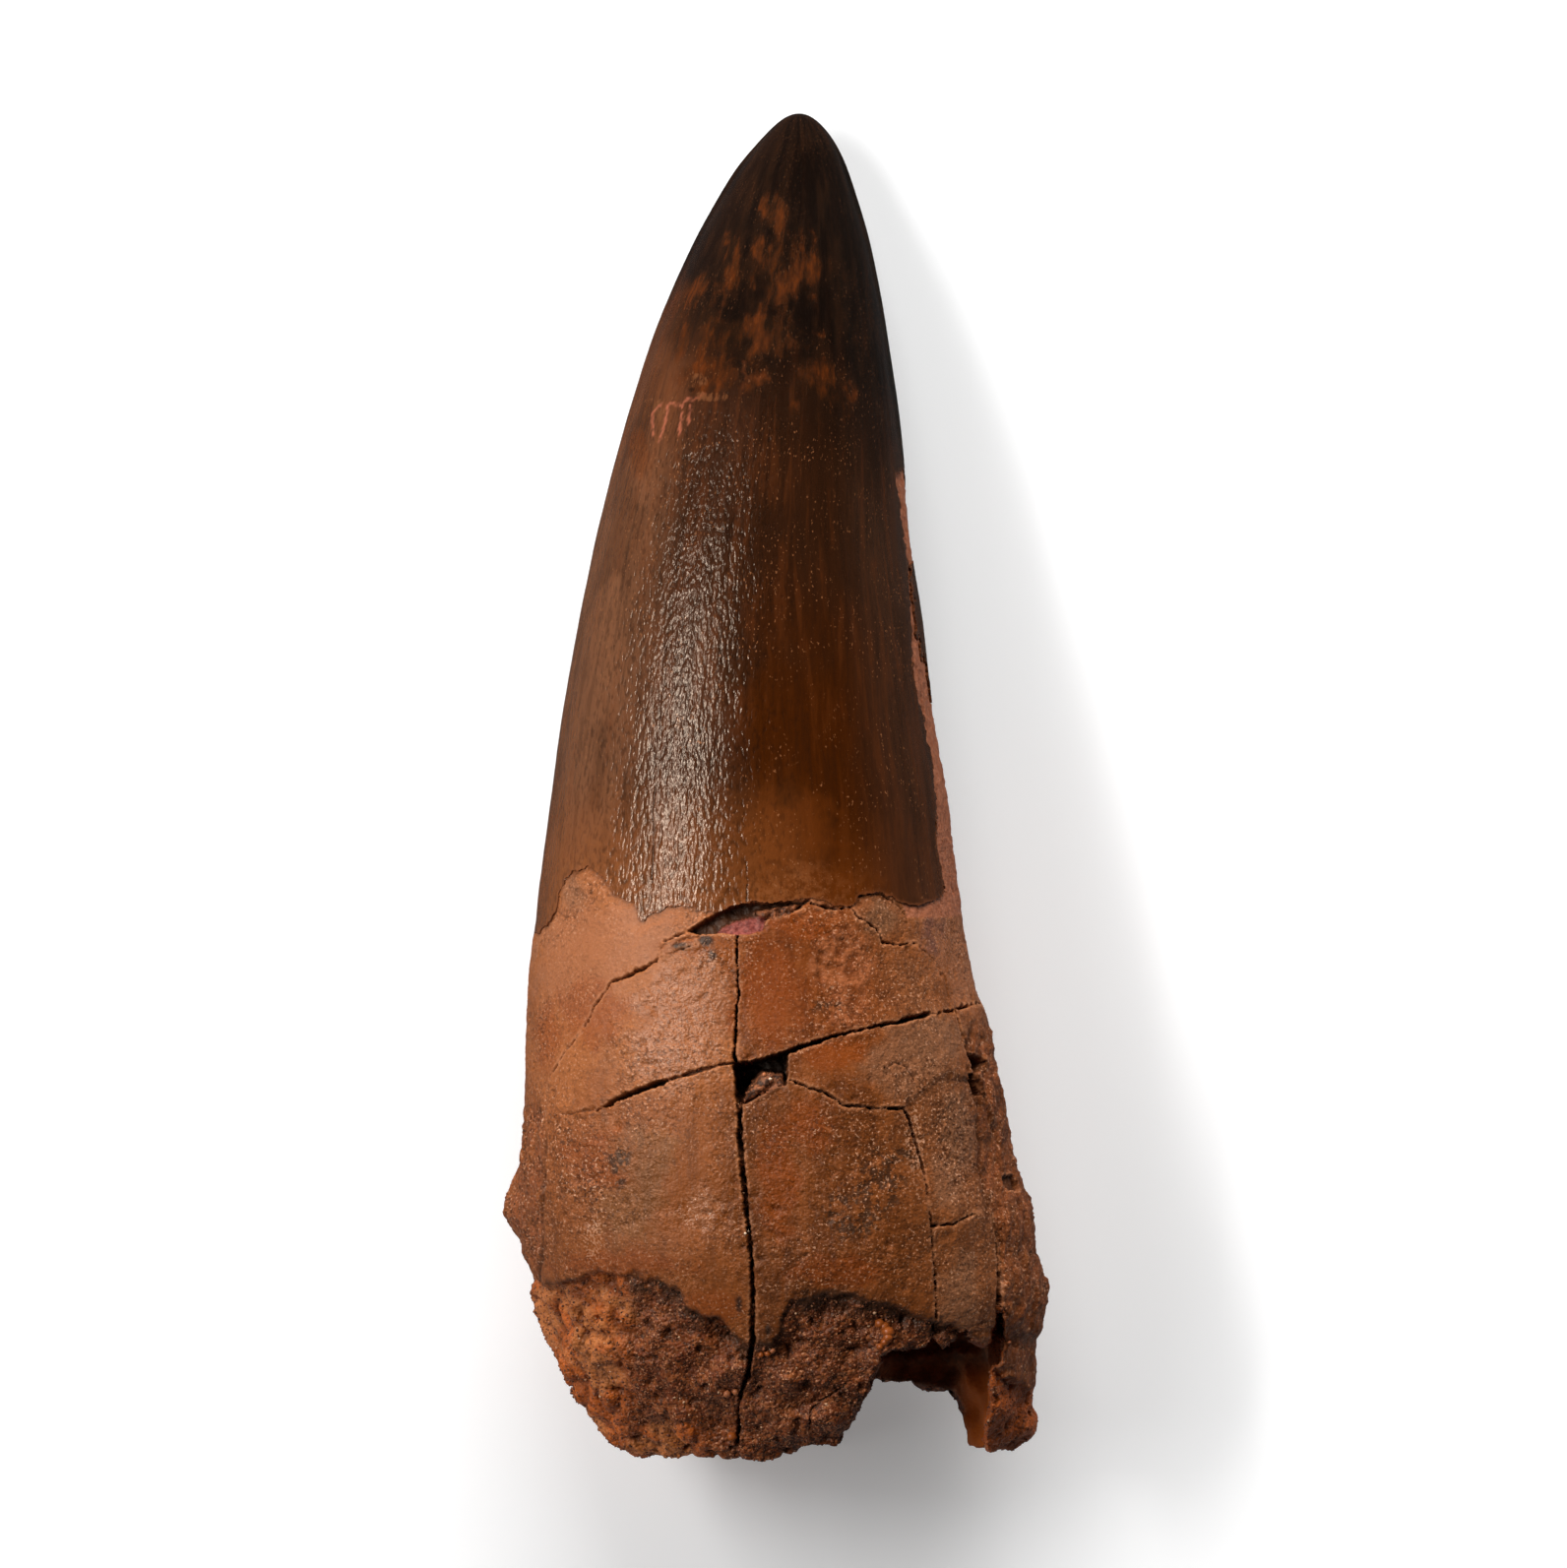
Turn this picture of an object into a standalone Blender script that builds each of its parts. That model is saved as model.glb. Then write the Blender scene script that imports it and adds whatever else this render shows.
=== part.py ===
"""A fossil Spinosaurus tooth: an enamelled crown on a cracked, broken root, lying on its side.

The script works in millimetres and scales to metres at the end, with +Z up. The tooth lies along Y:
its tip points to +Y, and +X is to the right for someone who looks down on it with the tip away.
It rests on the flats worn into its underside, which lie in the plane z = 0.
"""

import math

import bmesh
import bpy
import numpy as np
from mathutils import Vector, noise

MM = 0.001

# Driving dimensions, in millimetres
TIP_Y = 64.9
END_Y = -65.0
TIP_X = 2.2
TIP_Z = 4.6
TIP_RADIUS = 2.3
CROWN_BASE_Y = -11.5

# The outline from above: (y, x) along the left and the right edge, from the tip to the root
LEFT_EDGE = (
    (62.2, -1.5), (58.0, -4.5), (51.0, -8.3), (42.0, -12.0), (32.0, -15.0), (20.0, -17.9),
    (6.0, -20.4), (-8.0, -22.3), (-20.0, -23.9), (-30.0, -24.3), (-37.5, -24.8), (-45.3, -24.0),
    (-50.2, -22.9), (-54.4, -21.7), (-56.2, -20.9), (-59.1, -19.1), (-61.2, -17.8),
    (-63.6, -15.8), (END_Y, -13.1),
)
RIGHT_EDGE = (
    (62.2, 5.4), (58.0, 7.0), (51.0, 9.0), (42.0, 10.6), (32.0, 11.9), (24.0, 12.5),
    (16.0, 13.7), (6.0, 14.9), (-1.5, 16.2), (-9.0, 17.1), (-15.0, 18.2), (-20.0, 19.2),
    (-23.0, 20.4), (-30.0, 21.7), (-37.1, 23.0), (-41.6, 24.8), (-45.1, 25.2), (-49.8, 26.2),
    (-52.3, 25.8), (-53.9, 25.0), (-60.6, 24.8), (-62.6, 24.5), (-63.7, 23.4), (END_Y, 22.0),
)

# The outline from the side: (y, z) along the upper side and the underside. Below zero is worn flat.
TOP_LINE = (
    (62.2, 8.0), (58.0, 10.6), (51.0, 15.2), (42.0, 19.8), (32.0, 23.8), (20.0, 27.6),
    (6.0, 31.2), (-8.0, 33.8), (-20.0, 35.3), (-32.0, 36.2), (-44.0, 35.6), (-50.0, 34.4),
    (-56.0, 32.2), (-60.0, 30.0), (-63.0, 27.6), (END_Y, 25.4),
)
UNDER_LINE = (
    (62.2, 1.9), (58.0, 1.0), (51.0, 0.2), (42.0, -0.3), (32.0, -0.4), (20.0, 0.1),
    (6.0, 0.6), (-8.0, 0.5), (-20.0, -0.2), (-32.0, -0.6), (-44.0, -0.6), (-50.0, 0.0),
    (-56.0, 1.4), (-60.0, 3.2), (-63.0, 5.4), (END_Y, 7.6),
)

# The broken end as seen from above: (x, y) from left to right, before the notch is broken out
END_LINE = (
    (-15.8, -64.7), (-13.1, -65.0), (-9.6, -64.7), (-5.2, -65.0), (-2.8, -65.0), (1.2, -64.8),
    (2.2, -63.8), (5.4, -63.8), (12.0, -63.8), (20.5, -64.1), (21.7, -64.4), (24.0, -63.8),
    (24.5, -62.8), (25.0, -60.6),
)

# The section is an ellipse at the crown and turns squarer along the first part of the root
CROWN_SQUARENESS = 2.0
ROOT_SQUARENESS = 2.35
SQUARE_LENGTH = 23.0

# Density of the skin: columns around it, and rings along each stretch of it
COLUMNS = 72
TIP_CAP_ANGLES = (14, 32, 50, 68, 84)
CROWN_RINGS = 15
PLATE_RINGS = 14
CRUST_RINGS = 13
END_RINGS = 5
MEETING_TRIES = 40

# Relief, in millimetres. A lump field has a size and a height.
KNOB = {"centre": (-25.2, -41.3, 17.0), "radius": 3.1, "height": 1.7}
ROOT_LUMPS = {"size": 7.0, "height": 0.3, "seed": 3.0}
CRUST_LUMPS = {"size": 3.6, "height": 1.0, "seed": 11.0}
END_LUMPS = {"size": 4.5, "height": 1.6, "seed": 23.0}
END_DISH = 1.6
LEDGE_HEIGHT = 0.9
LEDGE_WIDTH = 0.5
CARINA_HEIGHT = 0.35
CARINA_HALF_ANGLE = 7.0
RELIEF_FREE_TIP = 6.0
ROOT_RELIEF_FROM = -2.0
ROOT_RELIEF_FULL = 3.0
LEDGE_FADES_BELOW = 0.5

# The ledge, (x, y): above it the root keeps its smooth outer layer, and below it is sandy crust
UPPER_LEDGE = (
    (-26.0, -46.5), (-22.3, -48.4), (-18.0, -48.0), (-13.0, -47.9), (-9.4, -49.0), (-8.5, -51.4),
    (-4.7, -53.6), (-2.6, -56.0), (-1.4, -57.0), (-0.2, -56.4), (0.9, -53.6), (2.1, -50.4),
    (5.8, -49.2), (10.6, -49.8), (14.8, -51.4), (18.6, -52.8), (21.5, -56.0), (27.0, -60.0),
)
UNDER_LEDGE = (
    (-26.0, -46.5), (-20.0, -50.2), (-15.0, -53.4), (-10.5, -51.0), (-5.0, -48.2), (1.5, -49.5),
    (7.0, -53.6), (13.0, -55.0), (19.0, -54.6), (23.0, -57.6), (27.0, -60.0),
)

# Cracks on the upper side: (x, y, width) along each one, and its depth
CRACKS = {
    "crown_base_slit": (2.6, (
        (-11.3, -15.7, 0.4), (-9.7, -14.8, 0.6), (-7.6, -14.0, 1.0), (-5.6, -13.1, 1.9),
        (-4.2, -12.9, 2.5), (-2.3, -12.8, 2.6), (-0.6, -12.3, 1.7), (1.2, -11.9, 0.9),
        (3.2, -11.3, 0.5), (5.8, -11.7, 0.5), (7.9, -12.8, 0.5), (9.7, -14.2, 0.5),
        (10.9, -15.6, 0.45), (13.0, -15.4, 0.3),
    )),
    "left_diagonal": (1.2, (
        (-10.2, -16.6, 0.35), (-13.2, -18.0, 0.4), (-15.8, -19.1, 0.35), (-17.5, -21.4, 0.25),
        (-18.1, -22.9, 0.25), (-19.4, -24.8, 0.2),
    )),
    "long_upper": (3.2, (
        (-3.7, -14.2, 0.35), (-3.9, -16.9, 0.3), (-3.7, -19.8, 0.35), (-4.0, -22.7, 0.35),
        (-4.0, -27.4, 0.4),
    )),
    "long_lower": (3.2, (
        (-3.7, -29.5, 0.6), (-3.5, -34.3, 0.55), (-3.0, -39.5, 0.5), (-2.5, -44.4, 0.5),
        (-2.3, -48.3, 0.55), (-2.4, -54.1, 0.7), (-2.9, -57.2, 0.7), (-3.6, -58.7, 0.55),
        (-3.8, -61.8, 0.4), (-3.8, -66.0, 0.4),
    )),
    "cross_left": (2.6, (
        (-17.5, -31.4, 0.3), (-15.9, -30.7, 0.55), (-13.2, -29.5, 0.6), (-10.1, -28.4, 0.6),
        (-7.2, -27.6, 0.45), (-3.6, -26.8, 0.45),
    )),
    "cross_right": (2.6, (
        (-0.4, -26.3, 0.6), (3.5, -24.9, 0.55), (5.5, -24.4, 0.5), (8.8, -23.5, 0.4),
        (11.6, -23.0, 0.5), (13.7, -22.4, 0.5), (16.6, -22.0, 0.4), (21.5, -21.1, 0.5),
    )),
    "tile_edge": (1.8, (
        (1.3, -28.5, 0.3), (3.4, -29.3, 0.35), (5.0, -29.8, 0.35), (6.9, -31.0, 0.4),
        (9.7, -31.2, 0.35), (12.2, -31.4, 0.4), (13.2, -33.9, 0.7), (13.9, -36.0, 0.5),
        (14.5, -38.6, 0.35), (15.1, -44.4, 0.3), (15.4, -47.3, 0.3), (15.4, -52.7, 0.3),
    )),
    "tile_branch": (1.2, (
        (15.0, -42.6, 0.35), (17.0, -42.4, 0.35), (19.5, -41.2, 0.25),
    )),
    "right_long": (1.6, (
        (17.4, -22.2, 0.4), (17.8, -23.6, 0.4), (18.2, -25.6, 0.5), (19.1, -26.8, 1.3),
        (19.2, -28.6, 1.0), (20.1, -30.6, 0.4),
    )),
    "right_fissure": (2.4, (
        (21.5, -45.1, 0.3), (21.6, -47.3, 0.35), (21.8, -49.8, 0.45), (21.7, -51.6, 0.6),
        (21.6, -53.4, 0.7),
    )),
}
CRACK_FLOOR_SHARE = 0.35
CRACK_CUTTER_RISE = 4.0

# The hole where the two main cracks cross: its outline from above, and its depth
HOLE_OUTLINE = ((-4.1, -26.6), (-1.2, -26.4), (1.0, -25.7), (1.1, -27.8), (-0.6, -27.5),
                (-2.2, -28.6), (-3.0, -30.2), (-3.8, -30.2))
HOLE_DEPTH = 4.0

# The hollow for the pulp, and the two broken walls that open it: outlines from above
PULP_CENTRE = (13.6, -61.0, 16.8)
PULP_RADII = (7.5, 20.0, 10.4)
UPPER_WALL_BREAK = (
    (4.6, -68.0), (6.0, -62.8), (6.9, -61.8), (8.1, -59.7), (8.9, -58.1), (9.7, -56.2),
    (10.0, -55.0), (10.8, -54.4), (14.1, -54.2), (15.3, -53.3), (16.1, -54.1), (18.3, -52.7),
    (19.2, -53.7), (20.3, -54.2), (21.2, -52.6), (21.7, -50.8), (22.2, -52.4), (22.1, -54.1),
    (21.7, -56.0), (21.2, -58.0), (21.0, -60.6), (20.9, -68.0),
)
LOWER_WALL_BREAK = (
    (4.6, -68.0), (6.0, -62.8), (6.9, -61.8), (8.1, -59.7), (8.9, -58.1), (9.4, -57.4),
    (10.4, -58.0), (13.3, -57.8), (14.5, -58.4), (17.6, -59.1), (18.1, -60.0), (18.8, -61.8),
    (19.4, -63.0), (20.3, -68.0),
)
WALL_SPLIT_Z = 15.0
WALL_OVERLAP = 0.8
BELOW_ALL = -5.0
ABOVE_ALL = 45.0
BREAK_HEIGHTS = 9
BREAK_ROUGHNESS = {"size": 3.2, "height": 0.9, "seed": 31.0}

ROOT_COLOUR = (0.30, 0.145, 0.065, 1.0)
ROOT_ROUGHNESS = 0.6
SHARP_ANGLE = 38.0


def smooth_line(points):
    """A function through points (position, value) that never overshoots between them."""
    ordered = sorted(points)
    at = np.array([p[0] for p in ordered], float)
    value = np.array([p[1] for p in ordered], float)
    step = np.diff(at)
    slope = np.diff(value) / step
    tangent = np.zeros(len(at))
    tangent[0], tangent[-1] = slope[0], slope[-1]
    same_way = slope[:-1] * slope[1:] > 0
    before, after = slope[:-1][same_way], slope[1:][same_way]
    tangent[1:-1][same_way] = 2 * before * after / (before + after)

    def line(x):
        x = np.clip(x, at[0], at[-1])
        i = np.clip(np.searchsorted(at, x, side="right") - 1, 0, len(step) - 1)
        t = (x - at[i]) / step[i]
        bend = t * t * (3 - 2 * t)
        start_pull = t * (1 - t) ** 2 * step[i] * tangent[i]
        end_pull = t * t * (1 - t) * step[i] * tangent[i + 1]
        return value[i] + bend * (value[i + 1] - value[i]) + start_pull - end_pull

    return line


def from_tip(y):
    """The square root of the distance to the tip, in which the rounded tip is a straight line."""
    return np.sqrt(np.maximum(TIP_Y - np.asarray(y, float), 0.0))


def edge_line(points, tip_value):
    return smooth_line([(0.0, tip_value)] + [(float(from_tip(y)), v) for y, v in points])


left_edge = edge_line(LEFT_EDGE, TIP_X)
right_edge = edge_line(RIGHT_EDGE, TIP_X)
top_line = edge_line(TOP_LINE, TIP_Z)
under_line = edge_line(UNDER_LINE, TIP_Z)
end_line = smooth_line(END_LINE)
upper_ledge = smooth_line(UPPER_LEDGE)
under_ledge = smooth_line(UNDER_LEDGE)


def smooth_step(low, high, x):
    t = np.clip((np.asarray(x, float) - low) / (high - low), 0.0, 1.0)
    return t * t * (3 - 2 * t)


def section(y):
    """Centre (x, z), half width, half thickness and squareness of the section at y."""
    s = from_tip(y)
    left, right, top, under = left_edge(s), right_edge(s), top_line(s), under_line(s)
    on_root = smooth_step(0.0, SQUARE_LENGTH, CROWN_BASE_Y - np.asarray(y, float))
    square = CROWN_SQUARENESS + (ROOT_SQUARENESS - CROWN_SQUARENESS) * on_root
    return (left + right) / 2, (top + under) / 2, (right - left) / 2, (top - under) / 2, square


def top_height(x, y):
    """Height of the upper side at (x, y), before any relief."""
    centre_x, centre_z, wide, thick, square = section(y)
    share = np.clip(np.abs((x - centre_x) / np.maximum(wide, 1e-6)), 0.0, 1.0)
    return centre_z + thick * (1 - share ** square) ** (1 / square)


def skin_point(y, angle):
    """A point of the smooth skin on the section at y. Angle 0 is to the right, 90 degrees is up."""
    centre_x, centre_z, wide, thick, square = section(y)
    cosine, sine = np.cos(angle), np.sin(angle)
    x = centre_x + wide * np.sign(cosine) * np.abs(cosine) ** (2 / square)
    z = centre_z + thick * np.sign(sine) * np.abs(sine) ** (2 / square)
    return np.stack([x, y + 0 * x, z], axis=-1)


def meeting_y(line, angle):
    """Where the skin at this angle meets a line drawn from above, by trying y until it settles."""
    y = np.full_like(angle, END_Y)
    for _ in range(MEETING_TRIES):
        y = (y + line(skin_point(y, angle)[:, 0])) / 2
    return y


def lumps(points, field):
    """Smooth random heights for an array of points, from a lump field's size, height and seed."""
    offset = Vector((field["seed"], -field["seed"], 0.5 * field["seed"]))
    return np.array([field["height"] * noise.noise(Vector(p) / field["size"] + offset) for p in points])


def stretches(angle):
    """The y of every ring in each column of the skin, and how far each lies past the ledge."""
    cap = TIP_Y - TIP_RADIUS * (1 - np.cos(np.radians(TIP_CAP_ANGLES)))
    crown = np.linspace(cap[-1], CROWN_BASE_Y, CROWN_RINGS + 1)[1:]
    whole = np.concatenate([cap, crown])[:, None] + 0 * angle
    ledge = np.where(np.sin(angle) >= 0, meeting_y(upper_ledge, angle), meeting_y(under_ledge, angle))
    rim = meeting_y(end_line, angle)
    share = np.linspace(0.0, 1.0, PLATE_RINGS + 1)[1:, None]
    plates = CROWN_BASE_Y + share * (ledge - CROWN_BASE_Y)
    share = np.linspace(0.0, 1.0, CRUST_RINGS + 1)[:, None]
    crust = ledge - LEDGE_WIDTH + share * (rim - ledge + LEDGE_WIDTH)
    rings = np.concatenate([whole, plates, crust])
    return rings, ledge - rings


def skin_relief(points, past_ledge):
    """How far each point of the skin stands out from the smooth form."""
    x, y, z = points.T
    centre_x, centre_z, wide, thick, _ = section(y)
    up_share = np.abs(z - centre_z) / thick
    side_angle = np.degrees(np.arctan2(up_share, np.abs(x - centre_x) / wide))
    facing_up_or_down = smooth_step(0.0, LEDGE_FADES_BELOW, up_share)
    on_root = smooth_step(ROOT_RELIEF_FROM, ROOT_RELIEF_FULL, CROWN_BASE_Y - y)
    in_crust = smooth_step(0.0, LEDGE_WIDTH, past_ledge)
    out = on_root * lumps(points, ROOT_LUMPS)
    out += in_crust * (lumps(points, CRUST_LUMPS) - LEDGE_HEIGHT * facing_up_or_down)
    from_knob = np.linalg.norm(points - np.array(KNOB["centre"]), axis=1) / KNOB["radius"]
    out += KNOB["height"] * np.exp(-from_knob ** 2)
    out += (1 - on_root) * CARINA_HEIGHT * np.exp(-(side_angle / CARINA_HALF_ANGLE) ** 2)
    return out * smooth_step(0.0, RELIEF_FREE_TIP, TIP_Y - y)


def make_skin():
    """Rings of points from the tip to the rim, (rings, columns, 3), with their relief."""
    angle = np.linspace(0.0, 2 * math.pi, COLUMNS, endpoint=False)
    y, past_ledge = stretches(angle)
    rings = skin_point(y, np.broadcast_to(angle, y.shape))
    around = np.roll(rings, -1, axis=1) - np.roll(rings, 1, axis=1)
    along = np.gradient(rings, axis=0)
    normal = np.cross(around, along)
    normal /= np.maximum(np.linalg.norm(normal, axis=2, keepdims=True), 1e-9)
    height = skin_relief(rings.reshape(-1, 3), past_ledge.ravel()).reshape(y.shape)
    return rings + normal * height[:, :, None]


def make_end(rim):
    """Rings of points from inside the rim to near the middle of the broken, dished end."""
    middle = rim.mean(axis=0)
    rings = []
    for i in range(1, END_RINGS + 1):
        share = 1 - i / (END_RINGS + 1)
        ring = middle + share * (rim - middle)
        ring[:, 1] = middle[1] + share ** 4 * (rim[:, 1] - middle[1])
        ring[:, 1] += (1 - share ** 2) * (END_DISH + lumps(ring, END_LUMPS))
        rings.append(ring)
    return np.array(rings)


def add_walls(mesh, loops):
    """Faces between loops of equal length, each joined to the next."""
    count = len(loops[0])
    for first, second in zip(loops, loops[1:]):
        for i in range(count):
            j = (i + 1) % count
            mesh.faces.new((first[i], second[i], second[j], first[j]))


def add_fan(mesh, ring, middle):
    for i in range(COLUMNS):
        mesh.faces.new((ring[i], ring[(i + 1) % COLUMNS], middle))


def object_from(mesh, name):
    data = bpy.data.meshes.new(name)
    bmesh.ops.recalc_face_normals(mesh, faces=mesh.faces)
    mesh.to_mesh(data)
    mesh.free()
    made = bpy.data.objects.new(name, data)
    bpy.context.scene.collection.objects.link(made)
    return made


def make_body():
    """The whole tooth before its cracks and hollow: a skin lofted through rings, closed at both ends."""
    skin = make_skin()
    rings = np.concatenate([skin, make_end(skin[-1])])
    rings[:, :, 2] = np.maximum(rings[:, :, 2], 0.0)
    mesh = bmesh.new()
    loops = [[mesh.verts.new(Vector(p) * MM) for p in ring] for ring in rings]
    tip = mesh.verts.new(Vector((TIP_X, TIP_Y, TIP_Z)) * MM)
    middle = mesh.verts.new(Vector(rings[-1].mean(axis=0)) * MM)
    add_fan(mesh, loops[0], tip)
    add_walls(mesh, loops)
    add_fan(mesh, loops[-1], middle)
    bmesh.ops.triangulate(mesh, faces=mesh.faces)
    return object_from(mesh, "tooth")


def as_cutter(cutter):
    cutter.hide_render = True
    cutter.display_type = "WIRE"
    return cutter


def add_closed_tube(mesh, loops):
    """Walls between the loops, with a face over each end."""
    add_walls(mesh, loops)
    mesh.faces.new(loops[0])
    mesh.faces.new(loops[-1])


def make_crack_cutter(name, depth, route):
    """A wedge that follows a crack: wide above the surface, narrow at the crack's floor."""
    route = np.array(route)
    along = np.gradient(route[:, :2], axis=0)
    along /= np.linalg.norm(along, axis=1, keepdims=True)
    across = np.stack([-along[:, 1], along[:, 0]], axis=1)
    mesh = bmesh.new()
    loops = []
    for (x, y, width), side in zip(route, across):
        surface = float(top_height(x, y))
        wide = side * width / 2
        narrow = wide * CRACK_FLOOR_SHARE
        high = surface + CRACK_CUTTER_RISE
        low = surface - depth
        corners = ((-wide, high), (wide, high), (narrow, low), (-narrow, low))
        loops.append([mesh.verts.new(Vector((x + r[0], y + r[1], z)) * MM) for r, z in corners])
    add_closed_tube(mesh, loops)
    return as_cutter(object_from(mesh, "cutter_" + name))


def make_break_cutter(name, outline, low, high, levels=2, roughness=None):
    """An upright prism over an outline drawn from above, whose walls can be rough."""
    outline = np.array(outline)
    middle = outline.mean(axis=0)
    mesh = bmesh.new()
    loops = []
    for z in np.linspace(low, high, levels):
        points = np.column_stack([outline, np.full(len(outline), z)])
        if roughness:
            outward = outline - middle
            outward /= np.linalg.norm(outward, axis=1, keepdims=True)
            points[:, :2] += outward * lumps(points, roughness)[:, None]
        loops.append([mesh.verts.new(Vector(p) * MM) for p in points])
    add_closed_tube(mesh, loops)
    bmesh.ops.triangulate(mesh, faces=mesh.faces)
    return as_cutter(object_from(mesh, "cutter_" + name))


def make_pulp_cutter():
    mesh = bmesh.new()
    bmesh.ops.create_uvsphere(mesh, u_segments=24, v_segments=14, radius=1.0)
    bmesh.ops.scale(mesh, verts=mesh.verts, vec=Vector(PULP_RADII) * MM)
    bmesh.ops.translate(mesh, verts=mesh.verts, vec=Vector(PULP_CENTRE) * MM)
    return as_cutter(object_from(mesh, "cutter_pulp_hollow"))


def cut(body, cutter):
    modifier = body.modifiers.new(cutter.name, "BOOLEAN")
    modifier.operation = "DIFFERENCE"
    modifier.solver = "EXACT"
    modifier.object = cutter


def keep_cuts(body):
    """The body with its cuts made, and its edges sharp where a cut or a break left a corner."""
    bpy.context.view_layer.update()
    graph = bpy.context.evaluated_depsgraph_get()
    finished = bpy.data.meshes.new_from_object(body.evaluated_get(graph))
    body.modifiers.clear()
    body.data = finished
    finished.shade_smooth()
    finished.set_sharp_from_angle(angle=math.radians(SHARP_ANGLE))


def fossil_material():
    material = bpy.data.materials.new("fossil")
    material.use_nodes = True
    shader = material.node_tree.nodes["Principled BSDF"]
    shader.inputs["Base Color"].default_value = ROOT_COLOUR
    shader.inputs["Roughness"].default_value = ROOT_ROUGHNESS
    shader.inputs["Metallic"].default_value = 0.0
    return material


def clear_scene():
    for obj in list(bpy.data.objects):
        bpy.data.objects.remove(obj)


def main():
    clear_scene()
    tooth = make_body()
    tooth.data.materials.append(fossil_material())
    cut(tooth, make_pulp_cutter())
    upper, lower = (WALL_SPLIT_Z, ABOVE_ALL), (BELOW_ALL, WALL_SPLIT_Z + WALL_OVERLAP)
    cut(tooth, make_break_cutter("upper_wall", UPPER_WALL_BREAK, *upper, BREAK_HEIGHTS, BREAK_ROUGHNESS))
    cut(tooth, make_break_cutter("lower_wall", LOWER_WALL_BREAK, *lower, BREAK_HEIGHTS, BREAK_ROUGHNESS))
    for name, (depth, route) in CRACKS.items():
        cut(tooth, make_crack_cutter(name, depth, route))
    hole_top = float(top_height(*np.mean(HOLE_OUTLINE, axis=0)))
    cut(tooth, make_break_cutter("hole", HOLE_OUTLINE, hole_top - HOLE_DEPTH, ABOVE_ALL))
    keep_cuts(tooth)


main()
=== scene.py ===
"""A large fossil tooth, dressed for its picture: glossy enamel crown, cracked root, sandy crust.

The tooth lies along Y with its tip at +Y, and the camera looks straight down on it. Shapes are
worked out in millimetres and scaled to metres when a mesh is made. The smooth form is built from
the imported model's own values. Here it is divided finely, and the relief, cracks, enamel edge and
sand are added.
"""

import functools
import itertools
import math

import bmesh
import bpy
import numpy as np
from mathutils import Matrix, Vector, noise


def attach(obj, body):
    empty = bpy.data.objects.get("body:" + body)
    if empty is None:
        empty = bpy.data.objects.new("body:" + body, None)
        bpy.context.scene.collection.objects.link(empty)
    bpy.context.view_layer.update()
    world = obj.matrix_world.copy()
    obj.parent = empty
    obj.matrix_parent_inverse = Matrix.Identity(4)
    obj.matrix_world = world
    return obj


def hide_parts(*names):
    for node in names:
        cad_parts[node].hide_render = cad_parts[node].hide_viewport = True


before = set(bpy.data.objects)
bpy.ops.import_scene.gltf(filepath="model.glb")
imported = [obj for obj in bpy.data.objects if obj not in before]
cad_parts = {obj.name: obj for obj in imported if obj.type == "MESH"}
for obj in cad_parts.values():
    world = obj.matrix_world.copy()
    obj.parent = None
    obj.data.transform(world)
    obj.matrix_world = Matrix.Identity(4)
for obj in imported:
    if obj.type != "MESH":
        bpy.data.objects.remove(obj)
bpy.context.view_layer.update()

MM = 0.001
FAR = 1000.0
TINY = 1e-12
THIN = 1e-3
TIP_GUARD = 1e-4
EDGE_KEY = 1 << 24
NOISE_CELLS = 256
RIPPLE_HEIGHT = 1.7
FULL_TURN = 6.283

# The form of the tooth in millimetres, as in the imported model, except for the ledge above the
# crust, whose line on the upper side follows the photo more closely here
HALF_LENGTH = 65.0
TIP_Y = 64.9
END_Y = -65.0
TIP_X = 2.2
TIP_Z = 4.6
TIP_RADIUS = 2.3
CROWN_BASE_Y = -11.5
LEFT_EDGE = (
    (62.2, -1.5), (58.0, -4.5), (51.0, -8.3), (42.0, -12.0), (32.0, -15.0), (20.0, -17.9),
    (6.0, -20.4), (-8.0, -22.3), (-20.0, -23.9), (-30.0, -24.3), (-37.5, -24.8), (-45.3, -24.0),
    (-50.2, -22.9), (-54.4, -21.7), (-56.2, -20.9), (-59.1, -19.1), (-61.2, -17.8),
    (-63.6, -15.8), (END_Y, -13.1),
)
RIGHT_EDGE = (
    (62.2, 5.4), (58.0, 7.0), (51.0, 9.0), (42.0, 10.6), (32.0, 11.9), (24.0, 12.5),
    (16.0, 13.7), (6.0, 14.9), (-1.5, 16.2), (-9.0, 17.1), (-15.0, 18.2), (-20.0, 19.2),
    (-23.0, 20.4), (-30.0, 21.7), (-37.1, 23.0), (-41.6, 24.8), (-45.1, 25.2), (-49.8, 26.2),
    (-52.3, 25.8), (-53.9, 25.0), (-60.6, 24.8), (-62.6, 24.5), (-63.7, 23.4), (END_Y, 22.0),
)
TOP_LINE = (
    (62.2, 8.0), (58.0, 10.6), (51.0, 15.2), (42.0, 19.8), (32.0, 23.8), (20.0, 27.6),
    (6.0, 31.2), (-8.0, 33.8), (-20.0, 35.3), (-32.0, 36.2), (-44.0, 35.6), (-50.0, 34.4),
    (-56.0, 32.2), (-60.0, 30.0), (-63.0, 27.6), (END_Y, 25.4),
)
UNDER_LINE = (
    (62.2, 1.9), (58.0, 1.0), (51.0, 0.2), (42.0, -0.3), (32.0, -0.4), (20.0, 0.1),
    (6.0, 0.6), (-8.0, 0.5), (-20.0, -0.2), (-32.0, -0.6), (-44.0, -0.6), (-50.0, 0.0),
    (-56.0, 1.4), (-60.0, 3.2), (-63.0, 5.4), (END_Y, 7.6),
)
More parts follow.
